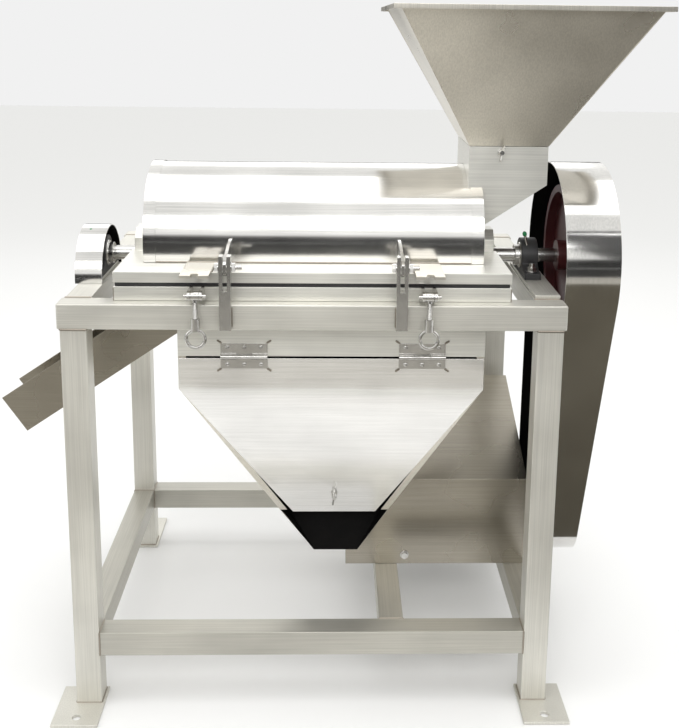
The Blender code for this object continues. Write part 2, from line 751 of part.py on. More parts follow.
def door():
    """Front door of the funnel: a short upright strip, a bend and a long tapering slope."""
    run, normal = door_slope()
    off = 0.5
    y_top = SKIRT_Y[0] + 2.0 - off
    bend = (y_top, BEND_Z - 0.1)
    end = Vector((0.0, MOUTH_FRONT[2], MOUTH_FRONT[3])) + normal * off + run * 3.0
    x0, x1 = SKIRT_X
    points = [
        (x0 + 1.0, y_top, DOOR_HINGE_Z - 4.0),
        (x1 - 1.0, y_top, DOOR_HINGE_Z - 4.0),
        (x0 + 1.0, bend[0], bend[1]),
        (x1 - 1.0, bend[0], bend[1]),
        (DOOR_BOTTOM_X[0], end.y, end.z),
        (DOOR_BOTTOM_X[1], end.y, end.z),
    ]
    faces = [(0, 2, 3, 1), (2, 4, 5, 3)]
    sheet = shell(points, faces, SHEET, 1.0)
    spot = wing_point()
    hole = rod(SCREW_HOLE_R, -20.0, 20.0, (0.0, 0.0), "z", 20)
    hole.transform(facing(spot, normal))
    placed("discharge_door", cut(sheet, hole), "polished_steel")


def wing_point():
    """Point on the door's sloping face where its wing screw goes through."""
    run, normal = door_slope()
    start = Vector((520.0, SKIRT_Y[0] + 2.0, BEND_Z))
    return start + run * 296.0 + normal * 0.5


def facing(point, normal):
    """Puts a mesh made along Z at the point, with its +Z along the normal."""
    return Matrix.Translation(point) @ Vector((0, 0, 1)).rotation_difference(normal).to_matrix().to_4x4()


def butt_hinges():
    """Two butt hinges: the upper leaf and pin on the skirt, the lower leaf and its knuckle on the door."""
    y = DOOR_HINGE_Y
    z = DOOR_HINGE_Z
    knuckle = 4.2
    pin = 2.2
    leaf_t = 1.8
    for side, x in zip(("left", "right"), BUTT_X):
        x0, x1 = x - BUTT_W / 2, x + BUTT_W / 2
        third = BUTT_W / 3
        skirt_face = SKIRT_Y[0] - GAP
        upper = box(x0, skirt_face - leaf_t, z + 5.0, x1, skirt_face, z + 27.0)
        parts = [rod(pin, x0 + 1.0, x1 - 1.0, (y, z), steps=20)]
        for a, b in ((x0, x0 + third - GAP), (x1 - third + GAP, x1)):
            parts.append(rod(knuckle, a, b, (y, z), steps=24))
            parts.append(box(a, y + 1.0, z + 1.0, b, skirt_face, z + 7.0))
        placed(f"butt_leaf_upper_{side}", join(upper, *parts), "bolt_steel")
        face = SKIRT_Y[0] + 2.0 - 0.5 - SHEET - GAP
        lower = box(x0, face - leaf_t, z - 24.0, x1, face, z - 6.0)
        barrel = prism([circle(y, z, knuckle, 24), circle(y, z, pin + GAP, 24)], "x", x0 + third, x1 - third)
        tab = box(x0 + third, y + 0.6, z - 8.0, x1 - third, face, z - 3.0)
        placed(f"butt_leaf_lower_{side}", join(lower, tab, barrel), "bolt_steel")


def wing_screw(name, point, normal, stem):
    """Screw with a round hub and two flat wings. Its head stands off the sheet along the normal."""
    profile = [(0, 16), (4.5, 16), (5.5, 4), (7.0, 3), (7.0, 0.3), (2.9, 0.3), (2.9, -stem), (0, -stem)]
    hub = turned(profile, 24, "z")
    wing = [(2.0, 5.0), (9.0, 6.0), (15.0, 12.0), (17.0, 19.0), (14.0, 22.0), (8.0, 18.0), (2.0, 14.0)]
    wings = [prism([[(sign * u, v) for u, v in wing]], "y", -1.6, 1.6) for sign in (-1.0, 1.0)]
    body = join(hub, *wings)
    body.transform(facing(point, normal) @ Matrix.Rotation(math.radians(78.0), 4, "Z"))
    placed(name, body, "bolt_steel")


def wing_screws():
    _, normal = door_slope()
    wing_screw("door_wing_screw", wing_point() + normal * SHEET, normal, SHEET + 3.0)
    # The neck's screw is backed off, so that the hopper can lift.
    wing_screw("neck_wing_screw", NECK_SCREW, Vector((0.0, -1.0, 0.0)), 0.3)


def chute():
    """Open stem chute that slopes down to the left, with a short hood under the rim."""
    angle = math.radians(CHUTE_DEG)
    run = (math.cos(angle), math.sin(angle))
    tip = CHUTE_TIP
    heel = (tip[0] + CHUTE_SIDE * run[1], tip[1] - CHUTE_SIDE * run[0])
    floor_end = (CHUTE_END_X, heel[1] + (CHUTE_END_X - heel[0]) * math.tan(angle))
    hood_foot = (CHUTE_HOOD_X, tip[1] + (CHUTE_HOOD_X - tip[0]) * math.tan(angle))
    side = [tip, heel, floor_end, (CHUTE_END_X, FRAME_Z), (CHUTE_HOOD_X, FRAME_Z), hood_foot]
    count = len(side)
    points = [(x, CHUTE_Y[0], z) for x, z in side] + [(x, CHUTE_Y[1], z) for x, z in side]
    faces = [tuple(range(count)), tuple(range(2 * count - 1, count - 1, -1))]
    for i in (1, 4):
        faces.append((i, i + count, i + 1 + count, i + 1))
    placed("stem_chute", shell(points, faces), "satin_steel")


def racetrack(r1, r2, steps=36):
    """Outline round two circles and the two straight runs that touch both, seen along X as (Y, Z)."""
    dy, dz = MOTOR_Y - AXIS_Y, MOTOR_Z - SHAFT_Z
    gap = math.hypot(dy, dz)
    base = math.degrees(math.atan2(dz, dy))
    spread = math.degrees(math.acos((r1 - r2) / gap))
    big = circle(AXIS_Y, SHAFT_Z, r1, steps, base + spread, 360.0 - 2 * spread)
    small = circle(MOTOR_Y, MOTOR_Z, r2, steps // 2, base - spread, 2 * spread)
    return big + small


def belt_guard():
    """Tall rounded guard over both pulleys, open on the machine side, with a fixing strap."""
    loop = racetrack(GUARD_R, GUARD_SMALL_R)
    count = len(loop)
    points = [(GUARD_X[0], y, z) for y, z in loop] + [(GUARD_X[1], y, z) for y, z in loop]
    faces = [(i, (i + 1) % count, count + (i + 1) % count, count + i) for i in range(count)]
    faces.append(tuple(range(count, 2 * count)))
    body = shell(points, faces)
    foot = box(FRAME_X + GAP, 420.0, 800.0, FRAME_X + GAP + 5.0, 459.0, 836.0)
    web = box(FRAME_X + GAP, 453.0, 800.0, GUARD_X[0] + 14.0, 459.0, 836.0)
    placed("belt_guard", join(body, web, foot), "polished_steel")


def pulley_profile(outer, low, high):
    """Closed section of a cast pulley: bore, hub, thin web, and a rim with a recessed belt track."""
    rim = 5.0
    track = outer - 9.0
    inside = outer - 16.0
    web = 20.0
    hub = 32.0
    return [
        (BORE_R, low - 4.0),
        (hub, low - 4.0),
        (hub, low + web),
        (inside, low + web),
        (inside, low),
        (outer, low),
        (outer, low + rim),
        (track, low + rim),
        (track, high - rim),
        (outer, high - rim),
        (outer, high),
        (inside, high),
        (inside, high - web),
        (hub, high - web),
        (hub, high + 2.0),
        (BORE_R, high + 2.0),
        (BORE_R, low - 4.0),
    ]


def drive():
    """Rotor pulley, motor with its pulley, banded belt, motor plate and motor cover box."""
    x0, x1 = PULLEY_X
    pulley = turned(pulley_profile(PULLEY_R, x0, x1), 64, "x", (0.0, AXIS_Y, SHAFT_Z))
    placed("rotor_pulley", pulley, "pulley_red")
    belt_t = 10.0
    outer = racetrack(PULLEY_R - 8.6 + belt_t, MOTOR_PULLEY_R - 8.6 + belt_t)
    inner = racetrack(PULLEY_R - 8.6, MOTOR_PULLEY_R - 8.6)
    placed("drive_belt", prism([outer, inner], "x", x0 + 5.6, x1 - 5.6), "rubber_black")
    shaft_r = 12.0
    track = MOTOR_PULLEY_R - 9.0
    profile = [(0, 872), (shaft_r, 872), (shaft_r, x0), (MOTOR_PULLEY_R, x0), (MOTOR_PULLEY_R, x0 + 5)]
    profile += [(track, x0 + 5), (track, x1 - 5), (MOTOR_PULLEY_R, x1 - 5), (MOTOR_PULLEY_R, x1), (0, x1)]
    placed("motor_pulley", turned(profile, 48, "x", (0.0, MOTOR_Y, MOTOR_Z)), "pulley_red")
    motor()
    motor_box()


def motor():
    """Motor: ribless barrel with end bells, shaft socket and feet."""
    r = MOTOR_R
    profile = [(0, 612), (58, 612), (70, 620), (76, 650), (r, 652), (r, 840), (76, 842), (70, 866)]
    profile += [(40, 870), (40, 876), (13, 876), (13, 866), (0, 866)]
    barrel = turned(profile, 48, "x", (0.0, MOTOR_Y, MOTOR_Z))
    base = BOX_BOTTOM + 6.0 + GAP
    feet = []
    for near, far in ((-80, -44), (44, 80)):
        feet.append(box(690.0, MOTOR_Y + near, base, 815.0, MOTOR_Y + far, MOTOR_Z - 55.0))
    case = box(716.0, MOTOR_Y - 45.0, MOTOR_Z + 70.0, 800.0, MOTOR_Y + 45.0, MOTOR_Z + 110.0)
    placed("motor", join(barrel, case, *feet), "motor_grey")
    placed("motor_plate", box(606.0, 288.0, BOX_BOTTOM, 950.0, 470.0, BOX_BOTTOM + 6.0), "frame_steel")


def motor_box():
    """Sheet box over the motor: low front, roof rising to the back, open underneath."""
    (x0, x1), (y0, y1) = BOX_X, BOX_Y
    low, front, back = BOX_BOTTOM, BOX_FRONT_TOP, BOX_BACK_TOP
    side = [(y0, low), (y0, front), (y1, back), (y1, low)]
    points = [(x0, y, z) for y, z in side] + [(x1, y, z) for y, z in side]
    faces = [(0, 1, 2, 3), (7, 6, 5, 4), (0, 4, 5, 1), (1, 5, 6, 2), (2, 6, 7, 3)]
    sheet = shell(points, faces)
    hole = rod(24.0, x1 - 20.0, x1 + 20.0, (MOTOR_Y, MOTOR_Z))
    placed("motor_box", cut(sheet, hole), "satin_steel")


def rotor():
    """Rotor shaft, and the beater cage of three spiders with four long bars."""
    profile = [(0, SHAFT_X[1]), (SHAFT_R - 1, SHAFT_X[1]), (SHAFT_R, SHAFT_X[1] - 1)]
    profile += [(SHAFT_R, SHAFT_X[0] + 1), (SHAFT_R - 1, SHAFT_X[0]), (0, SHAFT_X[0])]
    placed("rotor_shaft", turned(profile, 48, "x", (0.0, AXIS_Y, SHAFT_Z)), "bolt_steel")
    arm_half = 7.0
    arm_r = 112.0
    hub_r = 27.0
    step = math.asin(arm_half / hub_r)
    outline = []
    for quarter in range(4):
        turn = quarter * math.pi / 2
        for r, s in ((hub_r, -1), (arm_r, -1), (arm_r, 1), (hub_r, 1)):
            across = s * arm_half
            along = math.sqrt(r * r - across * across) if r == hub_r else r
            y = along * math.cos(turn) - across * math.sin(turn)
            z = along * math.sin(turn) + across * math.cos(turn)
            outline.append((AXIS_Y + y, SHAFT_Z + z))
        for part in range(1, 6):
            a = turn + step + (math.pi / 2 - 2 * step) * part / 6
            outline.append((AXIS_Y + hub_r * math.cos(a), SHAFT_Z + hub_r * math.sin(a)))
    hole = circle(AXIS_Y, SHAFT_Z, BORE_R, 48)
    spiders = [prism([outline, hole], "x", x, x + 10.0) for x in (226.0, 500.0, 782.0)]
    bars = []
    for quarter in range(4):
        bar = box(218.0, -4.0, 104.0, 800.0, 4.0, 128.0)
        turn = Matrix.Rotation(quarter * math.pi / 2, 4, "X")
        bar.transform(Matrix.Translation((0.0, AXIS_Y, SHAFT_Z)) @ turn)
        bars.append(bar)
    placed("beater_cage", join(spiders[0], *(spiders[1:] + bars)), "satin_steel")


def empty(name, point):
    made = bpy.data.objects.new(name, None)
    made.empty_display_size = 0.05
    PARTS.objects.link(made)
    made.location = (Vector(point) + SHIFT) * MM
    return made


def hang(axis_empty, names):
    """Parents the named nodes to the empty on their joint axis, keeping them where they are."""
    bpy.context.view_layer.update()
    for name in names:
        obj = bpy.data.objects[name]
        obj.parent = axis_empty
        obj.matrix_parent_inverse = axis_empty.matrix_world.inverted()


def joints():
    """Empties on the joint axes, with the pieces that move about each."""
    lid = empty("joint_cover", (FRAME_X / 2, HINGE_Y, HINGE_Z))
    cover = ["cover_shell", "cover_flange", "feed_neck", "cover_arm_left", "cover_arm_right"]
    hang(lid, cover + ["clamp_lug_left", "clamp_lug_right"])
    hang(empty("joint_neck_screw", NECK_SCREW), ["neck_wing_screw"])
    feed = empty("joint_hopper", ((NECK_X[0] + NECK_X[1]) / 2, AXIS_Y, NECK_TOP))
    hang(feed, ["hopper"])
    for side, x in zip(("left", "right"), SWING_X):
        bolt = empty(f"joint_swing_{side}", (x, SWING_Y, SWING_Z))
        hang(bolt, [f"swing_bolt_{side}"])
        nut = empty(f"joint_nut_{side}", (x, SWING_Y, SWING_Z - RING_AT))
        hang(nut, [f"eye_nut_{side}"])
    flap = empty("joint_door", (FRAME_X / 2, DOOR_HINGE_Y, DOOR_HINGE_Z))
    hang(flap, ["discharge_door", "butt_leaf_lower_left", "butt_leaf_lower_right"])
    screw = empty("joint_door_screw", wing_point())
    hang(screw, ["door_wing_screw"])
    spin = empty("joint_rotor", (DRUM_X[0], AXIS_Y, SHAFT_Z))
    hang(spin, ["rotor_shaft", "beater_cage", "rotor_pulley"])
    drive_axis = empty("joint_motor", (PULLEY_X[0], MOTOR_Y, MOTOR_Z))
    hang(drive_axis, ["motor_pulley"])


def build():
    legs()
    rails()
    stretchers()
    seat_plates()
    pillow_blocks()
    bearing_cover()
    lower_body()
    screen()
    cover_shell()
    cover_flange()
    neck()
    hopper()
    cover_hinge()
    clamps()
    skirt()
    funnel()
    door()
    butt_hinges()
    wing_screws()
    chute()
    belt_guard()
    drive()
    rotor()
    joints()


clear_scene()
PARTS = new_collection("grape_crusher_destemmer")
CUTTERS = new_collection("cutters")
CUTTERS.hide_render = True
build()
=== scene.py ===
import json
import logging
import math
from collections.abc import Iterable
from dataclasses import dataclass
from enum import Enum

import bmesh
import bpy
from mathutils import Matrix, Vector

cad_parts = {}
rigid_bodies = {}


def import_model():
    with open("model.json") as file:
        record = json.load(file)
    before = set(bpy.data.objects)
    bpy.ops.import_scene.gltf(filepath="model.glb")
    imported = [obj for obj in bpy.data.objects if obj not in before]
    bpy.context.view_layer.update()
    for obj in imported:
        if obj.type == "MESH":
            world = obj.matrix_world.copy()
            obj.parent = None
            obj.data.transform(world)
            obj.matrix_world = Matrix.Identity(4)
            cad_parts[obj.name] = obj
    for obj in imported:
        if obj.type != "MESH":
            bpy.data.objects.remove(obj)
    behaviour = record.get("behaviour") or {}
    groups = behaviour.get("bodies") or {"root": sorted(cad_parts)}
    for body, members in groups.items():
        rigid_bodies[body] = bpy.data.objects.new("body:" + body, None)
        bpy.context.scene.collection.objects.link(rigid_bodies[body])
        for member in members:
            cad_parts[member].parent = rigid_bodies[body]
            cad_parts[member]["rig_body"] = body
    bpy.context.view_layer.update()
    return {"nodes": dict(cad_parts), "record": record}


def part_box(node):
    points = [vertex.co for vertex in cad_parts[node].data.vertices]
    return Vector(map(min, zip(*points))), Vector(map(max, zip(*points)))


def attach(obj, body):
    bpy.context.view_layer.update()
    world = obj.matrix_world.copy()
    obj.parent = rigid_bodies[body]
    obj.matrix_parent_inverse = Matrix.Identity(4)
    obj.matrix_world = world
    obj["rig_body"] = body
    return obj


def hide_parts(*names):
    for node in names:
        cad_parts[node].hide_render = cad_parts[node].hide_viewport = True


for leftover in list(bpy.data.objects):
    bpy.data.objects.remove(leftover)
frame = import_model()
LOG = logging.getLogger("destemmer")
SLOT_OF = {part["node"]: part["material_slot"] for part in frame["record"]["subparts"]}
UP = Vector((0, 0, 1))
MERGE_GAP = 0.00002
MIX_FIRST, MIX_SECOND, MIX_RESULT = 6, 7, 2
Material = bpy.types.Material
Socket = bpy.types.NodeSocket
Triple = tuple[float, float, float]


class Grain(Enum):
    """The way a sheet or tube was brushed, as the stretch of its scratches along X, Y and Z."""

    ALONG_X = (5.0, 420.0, 420.0)
    ALONG_Y = (420.0, 5.0, 420.0)
    ALONG_Z = (420.0, 420.0, 5.0)
    NONE = (60.0, 60.0, 60.0)


class Axis(Enum):
    """A main direction of the machine."""

    X = 0
    Y = 1
    Z = 2


def set_stops(ramp: bpy.types.Node, stops: Iterable[tuple[float, Triple]]) -> None:
    """Gives a colour ramp its stops.

    Args:
        ramp: the ramp's node.
        stops: pairs of place and colour, in order.
    """
    elements = ramp.color_ramp.elements
    for index, (place, colour) in enumerate(stops):
        element = elements[index] if index < 2 else elements.new(place)
        element.position = place
        element.color = (*colour, 1.0)


class Shader:
    """A node material under construction."""

    def __init__(self, name: str) -> None:
        """Starts a Principled material with object coordinates.

        Args:
            name: the material's name.
        """
        self.material = bpy.data.materials.new(name)
        self.material.use_nodes = True
        self.tree = self.material.node_tree
        self.surface = self.tree.nodes["Principled BSDF"]
        self.coords = self.tree.nodes.new("ShaderNodeTexCoord").outputs["Object"]

    def node(self, kind: str, **values: object) -> bpy.types.Node:
        """Adds a node.

        Args:
            kind: the node's Blender type.
            values: properties of the node.

        Returns:
            The new node.
        """
        made = self.tree.nodes.new(kind)
        for key, value in values.items():
            setattr(made, key, value)
        return made

    def link(self, start: Socket, end: Socket) -> None:
        """Joins an output to an input."""
        self.tree.links.new(start, end)

    def noise(self, scale: float, detail: float, stretch: Triple = (1, 1, 1)) -> Socket:
        """Adds a noise pattern on object coordinates.

        Args:
            scale: how fine the noise is.
            detail: its octaves.
            stretch: scale along each axis.

        Returns:
            The noise's value socket.
        """
        mapping = self.node("ShaderNodeMapping")
        mapping.inputs["Scale"].default_value = stretch
        self.link(self.coords, mapping.inputs["Vector"])
        noise = self.node("ShaderNodeTexNoise")
        noise.inputs["Scale"].default_value = scale
        noise.inputs["Detail"].default_value = detail
        self.link(mapping.outputs["Vector"], noise.inputs["Vector"])
        return noise.outputs["Fac"]

    def spread(self, value: Socket, low: float, high: float) -> Socket:
        """Maps a noise value, which mostly lies between 0.3 and 0.7, to a range.

        Args:
            value: the socket to map.
            low: result at 0.3.
            high: result at 0.7.

        Returns:
            The mapped socket.
        """
        remap = self.node("ShaderNodeMapRange")
        remap.inputs["From Min"].default_value = 0.3
        remap.inputs["From Max"].default_value = 0.7
        remap.inputs["To Min"].default_value = low
        remap.inputs["To Max"].default_value = high
        self.link(value, remap.inputs["Value"])
        return remap.outputs["Result"]

    def math(self, operation: str, first: Socket, second: Socket | float) -> Socket:
        """Adds a Math node.

        Args:
            operation: what it works out.
            first: the first value.
            second: the second value, a socket or a number.

        Returns:
            The result's socket.
        """
        made = self.node("ShaderNodeMath", operation=operation)
        self.link(first, made.inputs[0])
        if isinstance(second, Socket):
            self.link(second, made.inputs[1])
        else:
            made.inputs[1].default_value = second
        return made.outputs[0]

    def blend(self, factor: Socket, first: Socket | Triple, second: Socket | Triple) -> Socket:
        """Mixes two colours.

        Args:
            factor: the share of the second colour.
            first: the first colour, a socket or a tuple.
            second: the second colour, a socket or a tuple.

        Returns:
            The mixed colour's socket.
        """
        made = self.node("ShaderNodeMix", data_type="RGBA")
        self.link(factor, made.inputs[0])
        for socket, value in ((made.inputs[MIX_FIRST], first), (made.inputs[MIX_SECOND], second)):
            if isinstance(value, Socket):
                self.link(value, socket)
            else:
                socket.default_value = (*value, 1.0)
        return made.outputs[MIX_RESULT]

    def ramp(self, value: Socket, stops: Iterable[tuple[float, Triple]]) -> Socket:
        """Adds a colour ramp.

        Args:
            value: the socket that drives it.
            stops: pairs of place and colour, in order.

        Returns:
            The ramp's colour socket.
        """
        made = self.node("ShaderNodeValToRGB")
        set_stops(made, stops)
        self.link(value, made.inputs["Fac"])
        return made.outputs["Color"]

    def bumps(self, *heights: tuple[Socket, float]) -> None:
        """Stacks bump layers into the surface normal.

        Args:
            heights: pairs of a height socket and the depth in metres.
        """
        previous = None
        for height, depth in heights:
            bump = self.node("ShaderNodeBump")
            bump.inputs["Distance"].default_value = depth
            self.link(height, bump.inputs["Height"])
            if previous:
                self.link(previous, bump.inputs["Normal"])
            previous = bump.outputs["Normal"]
        if previous:
            self.link(previous, self.surface.inputs["Normal"])


@dataclass(frozen=True)
class SteelFinish:
    """Stainless steel: brushed or polished, with smudges, waviness and, at welds, heat tint."""

    name: str
    colour: Triple
    roughness: float
    grain: Grain = Grain.NONE
    scratch: float = 0.00004
    wave: float = 0.0
    smudge: float = 0.05
    heat: bool = False
    metal: float = 1.0

    def material(self) -> Material:
        """Builds the material.

        Returns:
            A material that reads object coordinates and, with heat, the attribute "heat".
        """
        shader = Shader(self.name)
        fine = shader.noise(1.0, 3.0, self.grain.value)
        cloud = shader.noise(5.0, 3.0)
        wide = shader.noise(2.6, 2.0)
        dark = tuple(c * 0.86 for c in self.colour)
        light = tuple(min(1.0, c * 1.08) for c in self.colour)
        colour = shader.blend(shader.spread(cloud, 0.0, 1.0), dark, light)
        streak = shader.spread(fine, 0.9, 1.06)
        grey = shader.node("ShaderNodeVectorMath", operation="SCALE")
        shader.link(colour, grey.inputs[0])
        shader.link(streak, grey.inputs["Scale"])
        colour = grey.outputs[0]
        roughness = shader.spread(cloud, self.roughness - self.smudge, self.roughness + self.smudge)
        if self.heat:
            colour, roughness = self.heat_tint(shader, colour, roughness, cloud)
        shader.link(colour, shader.surface.inputs["Base Color"])
        shader.link(roughness, shader.surface.inputs["Roughness"])
        shader.surface.inputs["Metallic"].default_value = self.metal
        layers = [(fine, self.scratch)]
        if self.wave:
            layers.append((wide, self.wave))
        shader.bumps(*layers)
        return shader.material

    def heat_tint(
        self, shader: Shader, colour: Socket, roughness: Socket, cloud: Socket
    ) -> tuple[Socket, Socket]:
        """Adds straw, brown and blue-grey tint near welds.

        Args:
            shader: the shader under construction.
            colour: the plain steel's colour socket.
            roughness: the plain steel's roughness socket.
            cloud: a soft noise that breaks up the tint's edge.

        Returns:
            The tinted colour and roughness sockets.
        """
        heat = shader.node("ShaderNodeAttribute", attribute_name="heat").outputs["Fac"]
        ragged = shader.math("MULTIPLY", heat, shader.spread(cloud, 0.55, 1.3))
        tint = shader.ramp(
            ragged,
            (
                (0.0, (0.60, 0.58, 0.54)),
                (0.3, (0.50, 0.43, 0.32)),
                (0.55, (0.33, 0.26, 0.20)),
                (0.8, (0.27, 0.27, 0.28)),
                (1.0, (0.42, 0.41, 0.40)),
            ),
        )
        strength = shader.math("MINIMUM", shader.math("MULTIPLY", ragged, 1.5), 0.8)
        tinted = shader.blend(strength, colour, tint)
        rougher = shader.math("ADD", roughness, shader.math("MULTIPLY", ragged, 0.12))
        return tinted, rougher


@dataclass(frozen=True)
class CoatFinish:
    """Paint, rubber or plastic with a fine texture and dusty patches."""

    name: str
    colour: Triple
    roughness: float
    dust: Triple = (0.3, 0.29, 0.27)
    dust_share: float = 0.12
    pebble: float = 0.0002
    pebble_scale: float = 380.0
    specular: float = 0.5

    def material(self) -> Material:
        """Builds the material.

        Returns:
            A material that reads object coordinates.
        """
        shader = Shader(self.name)
        cloud = shader.noise(14.0, 6.0)
        pebble = shader.noise(self.pebble_scale, 2.0)
        share = shader.math("MULTIPLY", shader.spread(cloud, 0.0, 1.0), self.dust_share)
        shader.link(shader.blend(share, self.colour, self.dust), shader.surface.inputs["Base Color"])
        roughness = shader.spread(pebble, self.roughness - 0.06, self.roughness + 0.08)
        shader.link(roughness, shader.surface.inputs["Roughness"])
        shader.surface.inputs["Specular IOR Level"].default_value = self.specular
        shader.bumps((pebble, self.pebble))
        return shader.material


class Finishes:
    """Every finish on the machine, made once."""

    def __init__(self) -> None:
        """Builds the materials."""
        warm = (0.66, 0.645, 0.59)
        clean = (0.80, 0.79, 0.77)
        satin = (0.74, 0.705, 0.63)
        bright = (0.84, 0.83, 0.775)
        # Darker tube tone for the stretchers and the motor rail: painted shade, as these low tubes get less
        # light
        painted_shade_tube_tone = (0.50, 0.485, 0.435)
        white = (0.90, 0.89, 0.87)
        # Darker satin tone for the motor box and the stem chute: painted shade
        dim = (0.40, 0.37, 0.315)
        x, y, z = Grain.ALONG_X, Grain.ALONG_Y, Grain.ALONG_Z
        tube = {"roughness": 0.42, "heat": True, "metal": 0.6}
        low_tube = {"roughness": 0.42, "heat": True, "metal": 0.7}
        self.tube_x = SteelFinish("tube_brushed_x", warm, grain=x, **tube).material()
        self.tube_y = SteelFinish("tube_brushed_y", warm, grain=y, **tube).material()
        self.tube_z = SteelFinish("tube_brushed_z", warm, grain=z, **tube).material()
        self.sheet = SteelFinish("rolled_sheet", bright, 0.36, x, 0.00002, 0.0008, metal=0.65).material()
        # Darker copies of the tube finish, carrying painted shade for the low tubes
        self.low_x = SteelFinish("stretcher_x", painted_shade_tube_tone, grain=x, **low_tube).material()
        self.low_y = SteelFinish("stretcher_y", painted_shade_tube_tone, grain=y, **low_tube).material()
        self.door = SteelFinish("door_sheet", white, 0.20, x, 0.00001, 0.0012, metal=0.8).material()
        self.shaded = SteelFinish("satin_painted_shade", dim, 0.27, x, 0.00003, 0.0010).material()
        self.mirror = SteelFinish("polished_sheet", clean, 0.15, x, 0.00001, 0.0012, 0.03).material()
        self.guard = SteelFinish("polished_guard", clean, 0.13, z, 0.00001, 0.0010, 0.03).material()
        self.satin_x = SteelFinish("satin_sheet_x", satin, 0.30, x, 0.00003, 0.0012, metal=0.85).material()
        self.satin_z = SteelFinish("satin_sheet_z", satin, 0.30, z, 0.00003, 0.0012, metal=0.85).material()
        self.bolt = SteelFinish("machined_steel", (0.66, 0.65, 0.63), 0.25, scratch=0.00003).material()
        self.bead = SteelFinish("weld_bead", (0.40, 0.36, 0.31), 0.42, scratch=0.0001, smudge=0.1).material()
        self.cast = CoatFinish("black_cast_housing", (0.018, 0.018, 0.020), 0.45).material()
        self.red = CoatFinish("dark_red_pulley", (0.07, 0.006, 0.008), 0.42, dust_share=0.05).material()
        # Near-black, barely shiny material for the inside faces of funnel, skirt, door, guard and bearing
        # cover: painted shade where little light gets in
        self.painted_shade_inside = CoatFinish(
            "inside_painted_shade",
            (0.004, 0.004, 0.004),
            0.7,
            dust=(0.02, 0.016, 0.014),
            dust_share=0.2,
            pebble=0.0001,
            pebble_scale=200.0,
            specular=0.08,
        ).material()
        self.rubber = CoatFinish(
            "black_rubber", (0.014, 0.014, 0.015), 0.72, dust_share=0.08, pebble_scale=700.0
        ).material()
        self.paint = CoatFinish("motor_paint", (0.09, 0.12, 0.16), 0.45, dust_share=0.08).material()
        self.green = CoatFinish("green_cap", (0.01, 0.22, 0.07), 0.4, dust_share=0.03).material()


def body_of(node: str) -> str:
    """Returns the name of the body that a CAD node is part of."""
    return frame["nodes"][node]["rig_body"]


def stand(place: Vector, axis: Vector) -> Matrix:
    """Returns the transform that puts a shape built along Z at a place, along an axis."""
    return Matrix.Translation(place) @ UP.rotation_difference(axis.normalized()).to_matrix().to_4x4()


